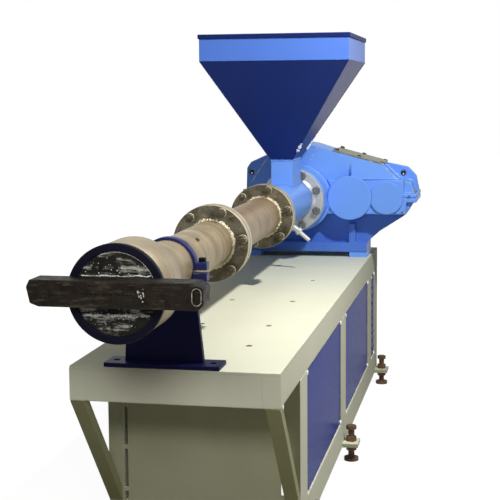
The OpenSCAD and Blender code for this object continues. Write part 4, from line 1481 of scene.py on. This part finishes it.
@dataclass
class Studio:
    """Camera, lamps, floor and backdrop."""

    reach: Vector
    yaw: float = math.radians(11.566)
    pitch: float = math.radians(5.851)
    roll: float = math.radians(-0.431)
    focal_px: float = 1200.06
    frame_px: float = 500.0
    optical_row: float = 216.66
    sensor_mm: float = 36.0
    view_end: float = 60.0
    lamp_aim: tuple[float, float, float] = (0.0, 1300.0, 150.0)
    key_reach: tuple[float, float, float] = (1200.0, 530.0, 1940.0)
    key_power: float = 52.0
    key_size: float = 0.14
    front_reach: tuple[float, float, float] = (150.0, -1500.0, 770.0)
    front_power: float = 11.5
    front_size: float = 0.4
    sky_reach: tuple[float, float, float] = (0.0, 1200.0, 4600.0)
    sky_power: float = 18.0
    sky_size: float = 4.0
    ambient: float = 0.1
    floor_half: float = 22.0
    floor_reach: float = 10.0
    floor_fade: tuple[tuple[float, float], ...] = ((0.18, 0.92), (0.42, 1.0))

    def build(self) -> None:
        """Build the whole studio."""
        self.camera()
        self.lamps()
        self.floor()
        self.backdrop()
        bpy.context.scene.view_settings.view_transform = "Standard"

    def camera(self) -> None:
        """Stand the camera where the photograph was taken."""
        level_share = math.cos(self.pitch)
        ahead = Vector((-math.sin(self.yaw) * level_share, math.cos(self.yaw) * level_share,
                        -math.sin(self.pitch)))
        level = Vector((math.cos(self.yaw), math.sin(self.yaw), 0))
        above = level.cross(ahead)
        right = level * math.cos(self.roll) + above * math.sin(self.roll)
        up = -level * math.sin(self.roll) + above * math.cos(self.roll)
        data = bpy.data.cameras.new("photo_camera")
        data.sensor_width = self.sensor_mm
        data.lens = self.sensor_mm * self.focal_px / self.frame_px
        data.shift_y = (self.optical_row - self.frame_px / 2) / self.frame_px
        data.clip_end = self.view_end
        camera = put("photo_camera", data)
        turn = Matrix((right, up, -ahead)).transposed().to_4x4()
        camera.matrix_world = Matrix.Translation(on_table(*self.reach)) @ turn
        bpy.context.scene.camera = camera

    def lamps(self) -> None:
        """Hang a small key lamp up on the right, a weak one in front, a wide one overhead."""
        aim = on_table(*self.lamp_aim)
        for name, reach, power, size in (
                ("key_lamp", self.key_reach, self.key_power, self.key_size),
                ("front_lamp", self.front_reach, self.front_power, self.front_size),
                ("sky_lamp", self.sky_reach, self.sky_power, self.sky_size)):
            data = bpy.data.lights.new(name, "AREA")
            data.shape = "DISK"
            data.energy = power
            data.size = size
            lamp = put(name, data)
            lamp.location = on_table(*reach)
            lamp.rotation_euler = (aim - lamp.location).to_track_quat("-Z", "Y").to_euler()
            lamp.visible_camera = False

    def seen(self, graph: Graph) -> bpy.types.NodeSocket:
        """Share that is 1 for what the camera sees, straight or in metal and glass."""
        path = graph.add("ShaderNodeLightPath")
        seen = graph.plus(path.outputs["Is Camera Ray"], path.outputs["Is Glossy Ray"])
        return graph.plus(seen, path.outputs["Is Transmission Ray"], True)

    def two_faced(self, graph: Graph, hidden: bpy.types.Node, shown: bpy.types.Node,
                  output: str) -> None:
        """Show one shader to the camera and another to the light that it bounces.

        Args:
            graph: The material's or the world's nodes.
            hidden: Shader that light bounces off.
            shown: Shader that the camera sees.
            output: Kind of the output node.
        """
        mix = graph.add("ShaderNodeMixShader")
        for socket, value in enumerate((self.seen(graph), hidden.outputs[0], shown.outputs[0])):
            graph.feed(mix, socket, value)
        graph.feed(graph.add(output), "Surface", mix.outputs[0])

    def floor(self) -> None:
        """Lay a wide floor that shows white, with the machine's shadow on it."""
        shape = bmesh.new()
        bmesh.ops.create_grid(shape, x_segments=1, y_segments=1, size=self.floor_half)
        floor = new_piece("studio_floor", shape)
        made = bpy.data.materials.new("studio_floor")
        made.use_nodes = True
        graph = Graph(made.node_tree)
        dull = graph.add("ShaderNodeBsdfDiffuse", None, Color=(0.34, 0.33, 0.31, 1))
        reach = graph.add("ShaderNodeVectorMath", {"operation": "LENGTH"})
        graph.feed(reach, 0, graph.add("ShaderNodeTexCoord").outputs["Object"])
        far = graph.math("DIVIDE", reach.outputs["Value"], self.floor_reach, True)
        glow = graph.add("ShaderNodeEmission", None, Color=(1, 1, 1, 1),
                         Strength=graph.ramp(far, self.floor_fade))
        both = graph.add("ShaderNodeAddShader")
        graph.feed(both, 0, dull.outputs[0])
        graph.feed(both, 1, glow.outputs[0])
        self.two_faced(graph, dull, both, "ShaderNodeOutputMaterial")
        floor.data.materials.append(made)

    def backdrop(self) -> None:
        """Fill the world with soft light, and show it as white behind the machine."""
        world = bpy.data.worlds.new("studio_world")
        world.use_nodes = True
        graph = Graph(world.node_tree)
        soft = graph.add("ShaderNodeBackground", None, Color=(0.95, 0.97, 1.0, 1),
                         Strength=self.ambient)
        white = graph.add("ShaderNodeBackground", None, Color=(1, 1, 1, 1), Strength=1.0)
        self.two_faced(graph, soft, white, "ShaderNodeOutputWorld")
        bpy.context.scene.world = world


def main() -> None:
    """Load the machine, dress it and light it."""
    logging.basicConfig(level=logging.INFO, format="%(name)s: %(message)s")
    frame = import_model()
    LOG.info("%d packed nodes", len(frame["nodes"]))
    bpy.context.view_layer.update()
    for group in (Studio(Vector(CAMERA_REACH)), Table(), DieHead(), Barrel(), Hopper(), Gearbox()):
        LOG.info("building %s", type(group).__name__)
        group.build()


if __name__ == "__main__":
    main()
